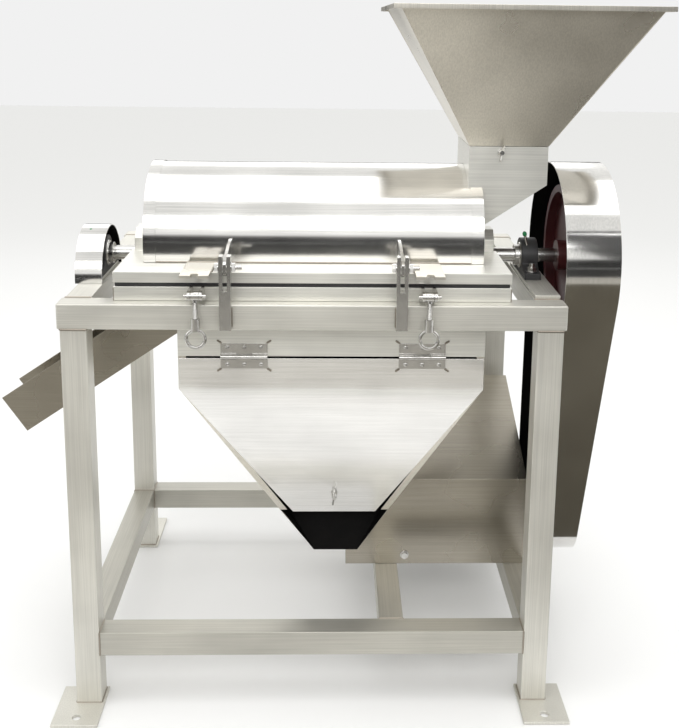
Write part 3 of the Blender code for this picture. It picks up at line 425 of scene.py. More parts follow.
class Blank:
    """A workpiece: one bmesh that shapes are added to and that becomes one finished piece."""

    def __init__(self) -> None:
        """Starts an empty workpiece."""
        self.mesh = bmesh.new()

    @classmethod
    def from_node(cls, node: str) -> "Blank":
        """Starts from a merged copy of a CAD node, with its flat faces made whole.

        Args:
            node: the CAD node's name.

        Returns:
            The workpiece.
        """
        made = cls()
        made.mesh.from_mesh(frame["nodes"][node].data)
        bmesh.ops.remove_doubles(made.mesh, verts=made.mesh.verts, dist=MERGE_GAP)
        bmesh.ops.dissolve_limit(
            made.mesh, angle_limit=math.radians(0.6), verts=made.mesh.verts, edges=made.mesh.edges
        )
        return made

    def soften(self, width: float, segments: int = 2, angle: float = 32.0) -> "Blank":
        """Rounds every edge sharper than an angle.

        Args:
            width: the bevel's width in metres.
            segments: faces across the bevel.
            angle: the smallest angle that counts as an edge, in degrees.

        Returns:
            The workpiece.
        """
        limit = math.radians(angle)
        sharp = [e for e in self.mesh.edges if len(e.link_faces) == 2 and e.calc_face_angle(0.0) > limit]
        bmesh.ops.bevel(
            self.mesh,
            geom=sharp,
            offset=width,
            offset_type="OFFSET",
            segments=segments,
            profile=0.5,
            affect="EDGES",
            clamp_overlap=True,
            material=-1,
        )
        return self

    def slice(self, axis: Axis, step: float) -> "Blank":
        """Cuts rings across the workpiece, so that tints can follow its length.

        Args:
            axis: the direction of its length.
            step: the distance between rings.

        Returns:
            The workpiece.
        """
        places = [v.co[axis.value] for v in self.mesh.verts]
        low, high = min(places), max(places)
        count = int((high - low) / step)
        normal = Vector([float(i == axis.value) for i in range(3)])
        for index in range(1, count):
            geometry = self.mesh.verts[:] + self.mesh.edges[:] + self.mesh.faces[:]
            point = normal * (low + (high - low) * index / count)
            bmesh.ops.bisect_plane(self.mesh, geom=geometry, dist=0.00001, plane_co=point, plane_no=normal)
        return self

    def block(self, low: Vector, high: Vector, bevel: float = 0.0, turn: Matrix | None = None) -> "Blank":
        """Adds a rectangular block, optionally bevelled and turned about its centre.

        Args:
            low: lowest corner.
            high: highest corner.
            bevel: width of the rounded edges.
            turn: rotation about the block's centre.

        Returns:
            The workpiece.
        """
        size = Matrix.Diagonal((*(high - low), 1.0))
        place = Matrix.Translation((low + high) / 2) @ (turn or Matrix.Identity(4))
        verts = bmesh.ops.create_cube(self.mesh, size=1.0, matrix=place @ size)["verts"]
        if bevel:
            edges = list({e for v in verts for e in v.link_edges})
            bmesh.ops.bevel(
                self.mesh, geom=edges, offset=bevel, segments=2, profile=0.5, affect="EDGES", material=-1
            )
        return self

    def rod(
        self, start: Vector, end: Vector, radius: float, sides: int = 24, bevel: float = 0.0
    ) -> "Blank":
        """Adds a rod or a hexagon bar between two points.

        Args:
            start: centre of the first end.
            end: centre of the last end.
            radius: its radius.
            sides: number of sides.
            bevel: width of the rounded end edges.

        Returns:
            The workpiece.
        """
        run = end - start
        verts = bmesh.ops.create_cone(
            self.mesh,
            cap_ends=True,
            segments=sides,
            radius1=radius,
            radius2=radius,
            depth=run.length,
            matrix=stand((start + end) / 2, run),
        )["verts"]
        if bevel:
            caps = {f for v in verts for f in v.link_faces if len(f.verts) == sides}
            edges = list({e for f in caps for e in f.edges})
            bmesh.ops.bevel(
                self.mesh, geom=edges, offset=bevel, segments=2, profile=0.5, affect="EDGES", material=-1
            )
        return self

    def lathe(
        self, profile: Iterable[tuple[float, float]], centre: Vector, axis: Vector, steps: int = 32
    ) -> "Blank":
        """Adds a turned shape.

        Args:
            profile: pairs of radius and height along the axis.
            centre: the point of zero height on the axis.
            axis: direction of the axis.
            steps: faces round it.

        Returns:
            The workpiece.
        """
        part = bmesh.new()
        verts = [part.verts.new((radius, 0.0, height)) for radius, height in profile]
        edges = [part.edges.new(pair) for pair in zip(verts, verts[1:])]
        bmesh.ops.spin(
            part,
            geom=verts + edges,
            cent=(0, 0, 0),
            axis=(0, 0, 1),
            angle=math.tau,
            steps=steps,
            use_merge=True,
        )
        bmesh.ops.remove_doubles(part, verts=part.verts, dist=0.000001)
        bmesh.ops.recalc_face_normals(part, faces=part.faces)
        bmesh.ops.transform(part, matrix=stand(centre, axis), verts=part.verts)
        self.absorb(part)
        return self

    def bead(self, start: Vector, end: Vector, radius: float) -> "Blank":
        """Adds a rippled weld bead along a seam.

        Args:
            start: first end of the seam.
            end: last end of the seam.
            radius: the bead's radius.

        Returns:
            The workpiece.
        """
        run = end - start
        count = max(4, int(run.length / (radius * 0.9)))
        part = bmesh.new()
        ring = bmesh.ops.create_circle(part, segments=7, radius=radius * 0.6)["verts"]
        cap = part.faces.new(ring)
        edges = list(cap.edges)
        for index in range(count):
            grown = bmesh.ops.extrude_edge_only(part, edges=edges)["geom"]
            verts = [g for g in grown if isinstance(g, bmesh.types.BMVert)]
            edges = [g for g in grown if isinstance(g, bmesh.types.BMEdge)]
            wanted = radius * (0.6 if index == count - 1 else 1.0 if index % 2 else 0.84)
            now = sum(v.co.xy.length for v in verts) / len(verts)
            height = run.length * (index + 1) / count
            for vert in verts:
                vert.co = (vert.co.x * wanted / now, vert.co.y * wanted / now, height)
        bmesh.ops.contextual_create(part, geom=edges)
        bmesh.ops.recalc_face_normals(part, faces=part.faces)
        bmesh.ops.transform(part, matrix=stand(start, run), verts=part.verts)
        self.absorb(part)
        return self

    def bead_ring(self, low: Vector, high: Vector, radius: float) -> "Blank":
        """Adds beads round a rectangle that is flat along one axis.

        Args:
            low: lowest corner.
            high: highest corner, equal to the lowest one along one axis.
            radius: the beads' radius.

        Returns:
            The workpiece.
        """
        flat = min(range(3), key=lambda i: abs(high[i] - low[i]))
        first, second = [i for i in range(3) if i != flat]
        corners = []
        for a, b in ((0, 0), (1, 0), (1, 1), (0, 1)):
            corner = Vector(low)
            corner[first] = high[first] if a else low[first]
            corner[second] = high[second] if b else low[second]
            corners.append(corner)
        for start, end in zip(corners, corners[1:] + corners[:1]):
            self.bead(start, end, radius)
        return self

    def bolt(self, seat: Vector, out: Vector, size: float, tail: float = 0.0) -> "Blank":
        """Adds a washer and a hexagon head on a surface, with an optional threaded tail beyond it.

        Args:
            seat: the point on the surface.
            out: direction away from the surface.
            size: thread diameter.
            tail: how far the thread stands out of the nut.

        Returns:
            The workpiece.
        """
        out = out.normalized()
        self.rod(seat, seat + out * size * 0.18, size * 1.1, 28, size * 0.04)
        base = seat + out * size * 0.18
        self.rod(base, base + out * size * 0.68, size * 0.92, 6, size * 0.06)
        if tail:
            self.rod(base, base + out * (size * 0.68 + tail), size * 0.5, 20, size * 0.06)
        return self

    def line(self, start: Vector, end: Vector) -> "Blank":
        """Gives the faces that look at a line inside the workpiece the second material: near-black painted
        shade for the inside.

        Args:
            start: first end of the line.
            end: last end of the line.

        Returns:
            The workpiece.
        """
        self.mesh.normal_update()
        run = end - start
        for face in self.mesh.faces:
            middle = face.calc_center_median()
            share = max(0.0, min(1.0, (middle - start).dot(run) / run.length_squared))
            face.material_index = int(face.normal.dot(start + run * share - middle) > 0.004)
        return self

    def absorb(self, part: bmesh.types.BMesh) -> None:
        """Adds a bmesh to the workpiece and frees it.

        Args:
            part: the bmesh.
        """
        scratch = bpy.data.meshes.new("scratch")
        part.to_mesh(scratch)
        part.free()
        self.mesh.from_mesh(scratch)
        bpy.data.meshes.remove(scratch)

    def done(
        self,
        name: str,
        finish: Material,
        body: str,
        slot: str,
        replaces: Iterable[str] = (),
        painted_shade_inside: Material | None = None,
    ) -> bpy.types.Object:
        """Turns the workpiece into a piece of the machine.

        Args:
            name: the piece's name.
            finish: its material.
            body: the body that it rides on.
            slot: the record's material slot; not used.
            replaces: CAD nodes that it stands for.
            painted_shade_inside: the near-black material, painted shade, for the faces that line() picked out.

        Returns:
            The finished object.
        """
        data = bpy.data.meshes.new(name)
        self.mesh.to_mesh(data)
        self.mesh.free()
        data.shade_smooth()
        data.set_sharp_from_angle(angle=math.radians(38.0))
        data.materials.append(finish)
        if painted_shade_inside:
            data.materials.append(painted_shade_inside)
        piece = bpy.data.objects.new(name, data)
        bpy.context.scene.collection.objects.link(piece)
        flat = piece.modifiers.new("flat_faces", "WEIGHTED_NORMAL")
        flat.keep_sharp = True
        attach(piece, body)
        if replaces:
            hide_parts(*replaces)
        LOG.info("%s: %d faces on body %s", name, len(data.polygons), body)
        return piece


def dress(node: str, finish: Material, width: float, segments: int = 2) -> bpy.types.Object:
    """Replaces a CAD node by a copy of itself with rounded edges.

    Args:
        node: the CAD node.
        finish: its material.
        width: the bevel's width in metres.
        segments: faces across the bevel.

    Returns:
        The finished object.
    """
    blank = Blank.from_node(node).soften(width, segments)
    return blank.done(f"{node}_finished", finish, body_of(node), SLOT_OF[node], [node])


def along(point: Vector, direction: Vector, distance: float) -> Vector:
    """Returns the point moved along a direction."""
    return point + direction.normalized() * distance


@dataclass
class TubeFrame:
    """The welded stand of square tube, its foot plates, seat plates and motor plate."""

    finishes: Finishes
    edge: float = 0.0035
    ring_step: float = 0.02
    tint_reach: float = 0.026
    bead: float = 0.0022
    foot_plate: float = 0.006

    def tube(self, node: str, axis: Axis, welds: Iterable[float]) -> None:
        """Builds one tube with rounded corners and heat tint at its welds.

        Args:
            node: the CAD node.
            axis: the tube's length.
            welds: places of its welds along the axis.
        """
        blank = Blank.from_node(node).soften(self.edge, 3, 60.0).slice(axis, self.ring_step)
        bmesh.ops.triangulate(blank.mesh, faces=[f for f in blank.mesh.faces if len(f.verts) > 4])
        finish = {
            Axis.X: self.finishes.tube_x,
            Axis.Y: self.finishes.tube_y,
            Axis.Z: self.finishes.tube_z,
        }[axis]
        # Stretchers and the motor rail take the darker tube finish: painted shade on the low tubes
        if node.startswith("stretcher") or node == "rail_motor":
            finish = self.finishes.low_x if axis is Axis.X else self.finishes.low_y
        piece = blank.done(f"{node}_welded", finish, body_of(node), SLOT_OF[node], [node])
        heat = piece.data.attributes.new("heat", "FLOAT", "POINT")
        for vert, value in zip(piece.data.vertices, heat.data):
            nearest = min(abs(vert.co[axis.value] - place) for place in welds)
            value.value = math.exp(-((nearest / self.tint_reach) ** 2))

    def legs(self) -> None:
        """Builds the four legs."""
        stretcher_low, stretcher_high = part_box("stretcher_front")
        for end in ("front", "rear"):
            for side in ("left", "right"):
                node = f"leg_{end}_{side}"
                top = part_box(node)[1].z
                self.tube(node, Axis.Z, (self.foot_plate, stretcher_low.z, stretcher_high.z, top))

    def bars(self) -> None:
        """Builds rails and stretchers with their welds."""
        for node in ("rail_front", "rail_rear"):
            inner_low, inner_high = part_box("rail_cross")
            self.tube(node, Axis.X, (inner_low.x, inner_high.x))
        for node in ("rail_cross", "stretcher_front", "stretcher_rear"):
            low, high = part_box(node)
            self.tube(node, Axis.X, (low.x, high.x))
        cross_low, cross_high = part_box("rail_cross")
        for node in ("rail_left", "rail_right"):
            low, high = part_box(node)
            self.tube(node, Axis.Y, (low.y, high.y, cross_low.y, cross_high.y))
        for node in ("stretcher_left", "stretcher_right", "rail_motor"):
            low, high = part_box(node)
            self.tube(node, Axis.Y, (low.y, high.y))

    def beads(self) -> None:
        """Adds a weld bead round each tube joint."""
        blank = Blank()
        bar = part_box("stretcher_front")
        width = bar[1].z - bar[0].z
        for end in ("front", "rear"):
            for side in ("left", "right"):
                low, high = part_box(f"leg_{end}_{side}")
                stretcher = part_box(f"stretcher_{side}")
                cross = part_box(f"stretcher_{end}")
                x0, y0 = stretcher[0].x, cross[0].y
                foot_low = Vector((x0, y0, low.z + self.foot_plate))
                blank.bead_ring(foot_low, foot_low + Vector((width, width, 0)), self.bead)
                top_low = Vector((x0, y0, high.z))
                blank.bead_ring(top_low, top_low + Vector((width, width, 0)), self.bead)
        for node, axis in (
            ("stretcher_front", 0),
            ("stretcher_rear", 0),
            ("rail_cross", 0),
            ("stretcher_left", 1),
            ("stretcher_right", 1),
            ("rail_motor", 1),
            ("rail_left", 1),
            ("rail_right", 1),
        ):
            low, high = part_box(node)
            for place in (low[axis], high[axis]):
                ring_low, ring_high = Vector(low), Vector(high)
                ring_low[axis] = ring_high[axis] = place
                blank.bead_ring(ring_low, ring_high, self.bead)
        blank.done("frame_weld_beads", self.finishes.bead, "frame", "frame_steel")

    def plates(self) -> None:
        """Rounds the seat plates and the motor plate."""
        for node in ("seat_plate_left", "seat_plate_right", "motor_plate"):
            dress(node, self.finishes.tube_y, 0.0008)

    def build(self) -> None:
        """Builds the whole stand."""
        self.legs()
        self.bars()
        self.beads()
        self.plates()


@dataclass
class DrumBody:
    """Lower rim, gasket, cover flange, drum cover with end bands, and the perforated screen."""

    finishes: Finishes
    band_width: float = 0.024
    band_thickness: float = 0.0016
    hole_pitch: float = 0.011
    hole_share: float = 0.30

    def covers(self) -> None:
        """Rounds the folded sheets."""
        for node in ("lower_rim", "cover_flange"):
            dress(node, self.finishes.sheet, 0.0012, 3)
        dress("cover_shell", self.finishes.mirror, 0.0008)
        for node in ("gasket_front", "gasket_rear"):
            dress(node, self.finishes.rubber, 0.0012, 3)

    def bands(self) -> None:
        """Adds the two polished bands round the ends of the drum cover."""
        low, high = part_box("cover_shell")
        radius = (high.y - low.y) / 2 + 0.0002
        centre = Vector((0.0, (low.y + high.y) / 2, high.z - radius))
        for side, x0 in (("left", low.x + 0.0006), ("right", high.x - self.band_width - 0.0006)):
            part = bmesh.new()
            start = [part.verts.new((x, centre.y + radius, centre.z)) for x in (x0, x0 + self.band_width)]
            edge = part.edges.new(start)
            turned = bmesh.ops.spin(
                part, geom=[*start, edge], cent=centre, axis=(1, 0, 0), angle=math.pi, steps=64
            )["geom_last"]
            last = [g for g in turned if isinstance(g, bmesh.types.BMEdge)]
            drop = Vector((0.0, 0.0, low.z + 0.0004 - centre.z))
            for edges in ([edge], last):
                grown = bmesh.ops.extrude_edge_only(part, edges=edges)["geom"]
                ends = [g for g in grown if isinstance(g, bmesh.types.BMVert)]
                bmesh.ops.translate(part, vec=drop, verts=ends)
            bmesh.ops.recalc_face_normals(part, faces=part.faces)
            middle = max(part.faces, key=lambda f: f.calc_center_median().z)
            if middle.normal.z > 0:
                bmesh.ops.reverse_faces(part, faces=part.faces)
            bmesh.ops.solidify(part, geom=part.faces[:], thickness=self.band_thickness)
            bmesh.ops.recalc_face_normals(part, faces=part.faces)
            blank = Blank()
            blank.absorb(part)
            blank.soften(0.0004)
            blank.done(f"drum_band_{side}", self.finishes.mirror, "cover", "polished_steel")

    def seams(self) -> None:
        """Adds ground weld seams along the drum's foot and on the rim's corners."""
        low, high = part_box("cover_shell")
        blank = Blank()
        height = low.z + 0.0012
        for y in (low.y, high.y):
            blank.bead(Vector((low.x, y, height)), Vector((high.x, y, height)), 0.0016)
        blank.done("cover_seam", self.finishes.bead, "cover", "polished_steel")
        corners = Blank()
        low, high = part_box("lower_rim")
        inset = 0.0007
        for x in (low.x, high.x):
            for y in (low.y, high.y):
                px = x + inset if x < 0 else x - inset
                py = y + inset if y < -0.2 else y - inset
                corners.bead(Vector((px, py, low.z)), Vector((px, py, high.z - 0.002)), 0.0013)
        corners.done("rim_corner_welds", self.finishes.bead, "frame", "polished_steel")

    def screen(self) -> None:
        """Builds the half-round screen as perforated sheet with two flat lips."""
        low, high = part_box("screen")
        lip = 0.004
        radius = (high.y - low.y) / 2 - lip - 0.0008
        length = high.x - low.x
        columns = int(length / self.hole_pitch)
        rows = int(math.pi * radius / self.hole_pitch)
        part = bmesh.new()
        bmesh.ops.create_grid(part, x_segments=columns, y_segments=rows, size=0.5)
        margin = self.hole_share / max(columns, rows)
        rims = set(bmesh.ops.inset_individual(part, faces=part.faces[:], thickness=margin)["faces"])
        bmesh.ops.delete(part, geom=[f for f in part.faces if f not in rims], context="FACES")
        centre_y, centre_z = (low.y + high.y) / 2, high.z
        for vert in part.verts:
            turn = math.pi * (vert.co.y + 0.5)
            x = low.x + length * (vert.co.x + 0.5)
            vert.co = (x, centre_y - radius * math.cos(turn), centre_z - radius * math.sin(turn))
        bmesh.ops.solidify(part, geom=part.faces[:], thickness=0.0012)
        bmesh.ops.recalc_face_normals(part, faces=part.faces)
        blank = Blank()
        blank.absorb(part)
        for y0 in (low.y, high.y - lip - 0.0006):
            corner = Vector((low.x, y0, high.z - 0.0015))
            blank.block(corner, corner + Vector((length, lip + 0.0006, 0.0015)))
        blank.done("screen_perforated", self.finishes.satin_x, "frame", "satin_steel", ["screen"])

    def build(self) -> None:
        """Builds the body."""
        self.covers()
        self.bands()
        self.seams()
        self.screen()


@dataclass
class FeedHopper:
    """Square hopper, the neck that it stands in, and its corner welds."""

    finishes: Finishes
    lip: float = 0.013
    seam: float = 0.0011

    def build(self) -> None:
        """Builds the feed."""
        dress("hopper", self.finishes.satin_z, 0.0005)
        dress("feed_neck", self.finishes.sheet, 0.0006)
        low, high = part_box("hopper")
        neck_low, neck_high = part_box("feed_neck")
        blank = Blank()
        for neck_x, rim_x in ((neck_low.x, low.x + self.lip), (neck_high.x, high.x - self.lip)):
            for neck_y, rim_y in ((neck_low.y, low.y + self.lip), (neck_high.y, high.y - self.lip)):
                foot = Vector((neck_x, neck_y, neck_high.z + 0.002))
                blank.bead(foot, Vector((rim_x, rim_y, high.z - 0.002)), self.seam)
        blank.done("hopper_corner_welds", self.finishes.satin_z, "feed_hopper", "satin_steel")


@dataclass
class CoverHinge:
    """Two forks, the cover's arms, and the bolts with nuts and washers."""

    finishes: Finishes
    thread: float = 0.0095
    tail: float = 0.012
    pin_radius: float = 0.0058
    weld: float = 0.0018

    def build(self) -> None:
        """Builds the hinge."""
        for side in ("left", "right"):
            dress(f"hinge_fork_{side}", self.finishes.bolt, 0.0012, 3)
            dress(f"cover_arm_{side}", self.finishes.bolt, 0.0008)
            low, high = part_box(f"hinge_fork_{side}")
            pin_low, pin_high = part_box(f"hinge_bolt_{side}")
            axis_y, axis_z = (pin_low.y + pin_high.y) / 2, (pin_low.z + pin_high.z) / 2
            blank = Blank()
            right = Vector((high.x + 0.0004, axis_y, axis_z))
            left = Vector((low.x - 0.0004, axis_y, axis_z))
            blank.bolt(right, Vector((1, 0, 0)), self.thread, self.tail)
            blank.bolt(left, Vector((-1, 0, 0)), self.thread)
            blank.rod(left, right, self.pin_radius, 24)
            name = f"hinge_bolt_{side}"
            blank.done(f"{name}_hex", self.finishes.bolt, "frame", SLOT_OF[name], [name])
            welds = Blank()
            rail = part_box("rail_front")[1].z
            for x in (low.x, high.x):
                foot = Vector((x, high.y - 0.002, low.z + 0.002))
                welds.bead(foot, Vector((x, high.y - 0.002, rail - 0.004)), self.weld)
            welds.done(f"fork_weld_{side}", self.finishes.bead, "frame", "bolt_steel")


@dataclass
class SwingClamps:
    """Clevises, swing bolts with thread, eye nuts and lugs."""

    finishes: Finishes
    pitch: float = 0.00175

    def thread(self, side: str) -> None:
        """Builds a swing bolt: the eye and a shank with thread ridges.

        Args:
            side: left or right.
        """
        node = f"swing_bolt_{side}"
        low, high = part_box(node)
        centre = Vector(((low.x + high.x) / 2, (low.y + high.y) / 2, high.z - 0.009))
        blank = Blank()
        half = (high.x - low.x) / 2
        eye = [(0.0044, -half), (0.0088, -half), (0.009, -half + 0.0006), (0.009, half - 0.0006)]
        eye += [(0.0088, half), (0.0044, half), (0.0044, -half)]
        blank.lathe(eye, centre, Vector((1, 0, 0)), 36)
        top = -0.0075
        bottom = low.z - centre.z
        profile = [(0.0, top), (0.0052, top)]
        height = top - 0.004
        while height > bottom + self.pitch:
            profile += [(0.0054, height), (0.0046, height - self.pitch / 2)]
            height -= self.pitch
        profile += [(0.0046, bottom), (0.0, bottom)]
        blank.lathe(profile, centre, UP, 24)
        blank.done(f"{node}_threaded", self.finishes.bolt, body_of(node), SLOT_OF[node], [node])

    def build(self) -> None:
        """Builds both clamps."""
        for side in ("left", "right"):
            dress(f"clamp_clevis_{side}", self.finishes.bolt, 0.0007)
            dress(f"clamp_lug_{side}", self.finishes.satin_x, 0.0008)
            dress(f"eye_nut_{side}", self.finishes.bolt, 0.0006)
            self.thread(side)
            low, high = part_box(f"clamp_lug_{side}")
            drum_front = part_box("cover_shell")[0].y
            blank = Blank()
            for x in (low.x, high.x):
                start = Vector((x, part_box("cover_flange")[0].y + 0.002, low.z + 0.0006))
                blank.bead(start, Vector((x, drum_front - 0.002, low.z + 0.0006)), 0.0014)
            blank.done(f"lug_weld_{side}", self.finishes.bead, "cover", "satin_steel")


@dataclass
class Discharge:
    """Skirt, funnel, hinged door, butt hinges with their screws, and the wing screws."""

    finishes: Finishes
    screw_radius: float = 0.0042
    screw_height: float = 0.0022
    screw_spacing: float = 0.033

    def screw(self, blank: Blank, point: Vector) -> None:
        """Adds one pan head screw with a round recess, facing the front.

        Args:
            blank: the workpiece.
            point: the place of the head's base.
        """
        r, h = self.screw_radius, self.screw_height
        recess = [(0.0, h * 0.5), (r * 0.36, h * 0.5), (r * 0.42, h)]
        rim = [(r * 0.7, h * 0.88), (r, h * 0.3), (r, 0.0), (0.0, 0.0)]
        blank.lathe(recess + rim, point, Vector((0, -1, 0)), 20)

    def butts(self) -> None:
        """Builds the hinges and their screws."""
        for side in ("left", "right"):
            for leaf, body, lift in (("upper", "frame", -0.007), ("lower", "door", 0.009)):
                node = f"butt_leaf_{leaf}_{side}"
                dress(node, self.finishes.bolt, 0.0004)
                low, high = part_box(node)
                edge = high.z if leaf == "upper" else low.z
                face = high.y - 0.0018
                middle = (low.x + high.x) / 2
                blank = Blank()
                for step in (-self.screw_spacing, 0.0, self.screw_spacing):
                    self.screw(blank, Vector((middle + step, face, edge + lift)))
                blank.done(f"butt_screws_{leaf}_{side}", self.finishes.bolt, body, "bolt_steel")
                tacks = Blank()
                for x, lean in ((low.x, -1.0), (high.x, 1.0)):
                    start = Vector((x - lean * 0.002, high.y - 0.0006, edge))
                    out = Vector((lean * 0.009, 0.0, 0.006 if leaf == "upper" else -0.006))
                    tacks.bead(start, start + out, 0.0022)
                tacks.done(f"butt_tacks_{leaf}_{side}", self.finishes.bead, body, "bolt_steel")

    def build(self) -> None:
        """Builds the discharge."""
        low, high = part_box("discharge_funnel")
        middle = (low + high) / 2
        top = Vector((middle.x, middle.y, high.z + 0.1))
        mouth = Vector((middle.x, middle.y - 0.03, low.z))
        for node, finish in (
            ("discharge_skirt", self.finishes.sheet),
            ("discharge_funnel", self.finishes.satin_z),
            ("discharge_door", self.finishes.door),
        ):
            # Faces that look towards the funnel's middle line get the near-black painted shade
            blank = Blank.from_node(node).soften(0.0006).line(mouth, top)
            blank.done(f"{node}_finished", finish, body_of(node), SLOT_OF[node], [node], self.finishes.painted_shade_inside)
        self.butts()
        for node in ("door_wing_screw", "neck_wing_screw"):
            dress(node, self.finishes.bolt, 0.0007, 3)


@dataclass
class ShaftAndBearings:
    """Rotor shaft, beater cage, bearing housings with inserts, bolts and nipples, and the end cover."""

    finishes: Finishes
    insert_radius: float = 0.027
    collar_radius: float = 0.022
    bore: float = 0.0156
    packing_bore: float = 0.0152

    def housing(self, side: str) -> None:
        """Builds one bearing housing with its insert, collar, bolts and grease nipple.

        Args:
            side: left or right.
        """
        node = f"pillow_block_{side}"
        dress(node, self.finishes.cast, 0.0022, 3)
        low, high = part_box(node)
        shaft_low, shaft_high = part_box("rotor_shaft")
        centre = Vector(((low.x + high.x) / 2, (low.y + high.y) / 2, (shaft_low.z + shaft_high.z) / 2))
        half = (high.x - low.x) / 2
        blank = Blank()
        for sign in (-1.0, 1.0):
            axis = Vector((sign, 0, 0))
            ring = [(self.bore, half), (self.bore, half + 0.002)]
            ring += [(self.insert_radius - 0.001, half + 0.002), (self.insert_radius, half), (self.bore, half)]
            blank.lathe(ring, centre, axis, 40)
        outward = Vector((-1.0, 0, 0)) if side == "right" else Vector((1.0, 0, 0))
        face, end, radius = half + 0.002, half + 0.012, self.collar_radius
        collar = [(self.bore, face), (self.bore, end), (radius - 0.001, end)]
        collar += [(radius, half + 0.011), (radius, face), (self.bore, face)]
        blank.lathe(collar, centre, outward, 40)
        for y in (low.y + 0.019, high.y - 0.019):
            blank.bolt(Vector((centre.x, y, low.z + 0.014)), UP, 0.011, 0.008)
        blank.done(f"bearing_hardware_{side}", self.finishes.bolt, "frame", "bolt_steel")
        root = centre + Vector((-0.006, -0.024, 0.026))
        lean = Vector((-0.25, -0.12, 1.0))
        stem = Blank().rod(root, along(root, lean, 0.022), 0.0028, 16, 0.0004)
        stem.done(f"grease_stem_{side}", self.finishes.bolt, "frame", "bolt_steel")
        cap = Blank()
        dome = [(0.0, 0.031), (0.0022, 0.0305), (0.0042, 0.028)]
        skirt = [(0.0046, 0.025), (0.004, 0.0215), (0.0, 0.0212)]
        cap.lathe(dome + skirt, root, lean, 20)
        cap.done(f"grease_cap_{side}", self.finishes.green, "frame", "cast_black")

    def packing(self, side: str) -> None:
        """Builds the felt ring that closes the notch round the shaft.

        Args:
            side: left or right.
        """
        low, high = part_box("rotor_shaft")
        drum_low, drum_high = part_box("cover_shell")
        edge = drum_low.x if side == "left" else drum_high.x
        centre = Vector((edge, (low.y + high.y) / 2, (low.z + high.z) / 2))
        outward = Vector((-1.0 if side == "left" else 1.0, 0.0, 0.0))
        bore = self.packing_bore
        profile = [(bore, -0.004), (bore, 0.034), (0.019, 0.034), (0.0205, 0.032), (0.0205, -0.004)]
        blank = Blank().lathe([*profile, (bore, -0.004)], centre, outward, 40)
        blank.done(f"shaft_packing_{side}", self.finishes.rubber, "frame", "rubber_black")

    def build(self) -> None:
        """Builds shaft, rotor and bearings."""
        dress("rotor_shaft", self.finishes.bolt, 0.0004)
        dress("beater_cage", self.finishes.satin_x, 0.0008)
        low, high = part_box("bearing_cover_left")
        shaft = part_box("rotor_shaft")
        middle = Vector(((low.x + high.x) / 2, (low.y + high.y) / 2, (shaft[0].z + shaft[1].z) / 2))
        blank = Blank.from_node("bearing_cover_left").soften(0.0006)
        # The cover's faces that look at the shaft get the near-black painted shade
        blank.line(middle, middle + Vector((0.001, 0.0, 0.0)))
        name = "bearing_cover_left"
        painted_shade_inside = self.finishes.painted_shade_inside
        blank.done(f"{name}_finished", self.finishes.mirror, "frame", SLOT_OF[name], [name], painted_shade_inside)
        for side in ("left", "right"):
            self.housing(side)
            self.packing(side)


@dataclass
class BeltDrive:
    """Pulleys, belt, finned motor, belt guard and motor cover box."""

    finishes: Finishes
    fins: int = 40
    fin_height: float = 0.007

    def motor(self) -> None:
        """Builds the motor with its fins, feet, terminal box and fan cover."""
        blank = Blank.from_node("motor").soften(0.0012, 2)
        low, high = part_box("motor")
        pulley_low, pulley_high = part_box("motor_pulley")
        centre = (pulley_low + pulley_high) / 2
        radius = (high.y - low.y) / 2 - 0.0008
        start, end = low.x + 0.048, high.x - 0.042
        for index in range(self.fins):
            turn = math.tau * index / self.fins
            if abs(math.cos(turn)) < 0.55 and math.sin(turn) > 0 or math.sin(turn) < -0.5:
                continue
            out = Vector((0.0, math.cos(turn), math.sin(turn)))
            middle = Vector(((start + end) / 2, centre.y, centre.z)) + out * (radius + self.fin_height / 2)
            size = Vector(((end - start) / 2, self.fin_height / 2, 0.0012))
            blank.block(middle - size, middle + size, 0.0004, Matrix.Rotation(turn, 4, "X"))
        blank.done("motor_finned", self.finishes.paint, "frame", "motor_grey", ["motor"])

    def box_hardware(self) -> None:
        """Adds the bolts that hold the motor cover box and the guard's strap."""
        low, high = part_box("motor_box")
        blank = Blank()
        front = Vector(((low.x + high.x) / 2 - 0.07, low.y, low.z + 0.022))
        blank.bolt(front, Vector((0, -1, 0)), 0.009)
        for z in (low.z + 0.05, low.z + 0.2):
            blank.bolt(Vector((low.x, high.y - 0.06, z)), Vector((-1, 0, 0)), 0.008)
        blank.done("motor_box_bolts", self.finishes.bolt, "frame", "bolt_steel")

    def build(self) -> None:
        """Builds the drive."""
        dress("rotor_pulley", self.finishes.red, 0.001, 2)
        dress("motor_pulley", self.finishes.red, 0.001, 2)
        dress("drive_belt", self.finishes.rubber, 0.0012, 2)
        self.motor()
        ends = [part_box(node) for node in ("motor_pulley", "rotor_pulley")]
        low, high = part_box("belt_guard")
        line = [(a + b) / 2 for a, b in ends]
        for point in line:
            point.x = (low.x + high.x) / 2
        # The guard's inner faces, which look at the pulleys' line, get the near-black painted shade
        blank = Blank.from_node("belt_guard").soften(0.0008).line(*line)
        guard, painted_shade_inside = self.finishes.guard, self.finishes.painted_shade_inside
        blank.done("belt_guard_finished", guard, "frame", "polished_steel", ["belt_guard"], painted_shade_inside)
        # The motor box takes the darker satin finish: painted shade
        dress("motor_box", self.finishes.shaded, 0.0008, 2)
        self.box_hardware()


@dataclass
class StemChute:
    """The open chute that carries stems out to the left."""

    finishes: Finishes

    def build(self) -> None:
        """Builds the chute."""
        # The chute takes the darker satin finish: painted shade
        dress("stem_chute", self.finishes.shaded, 0.0006)


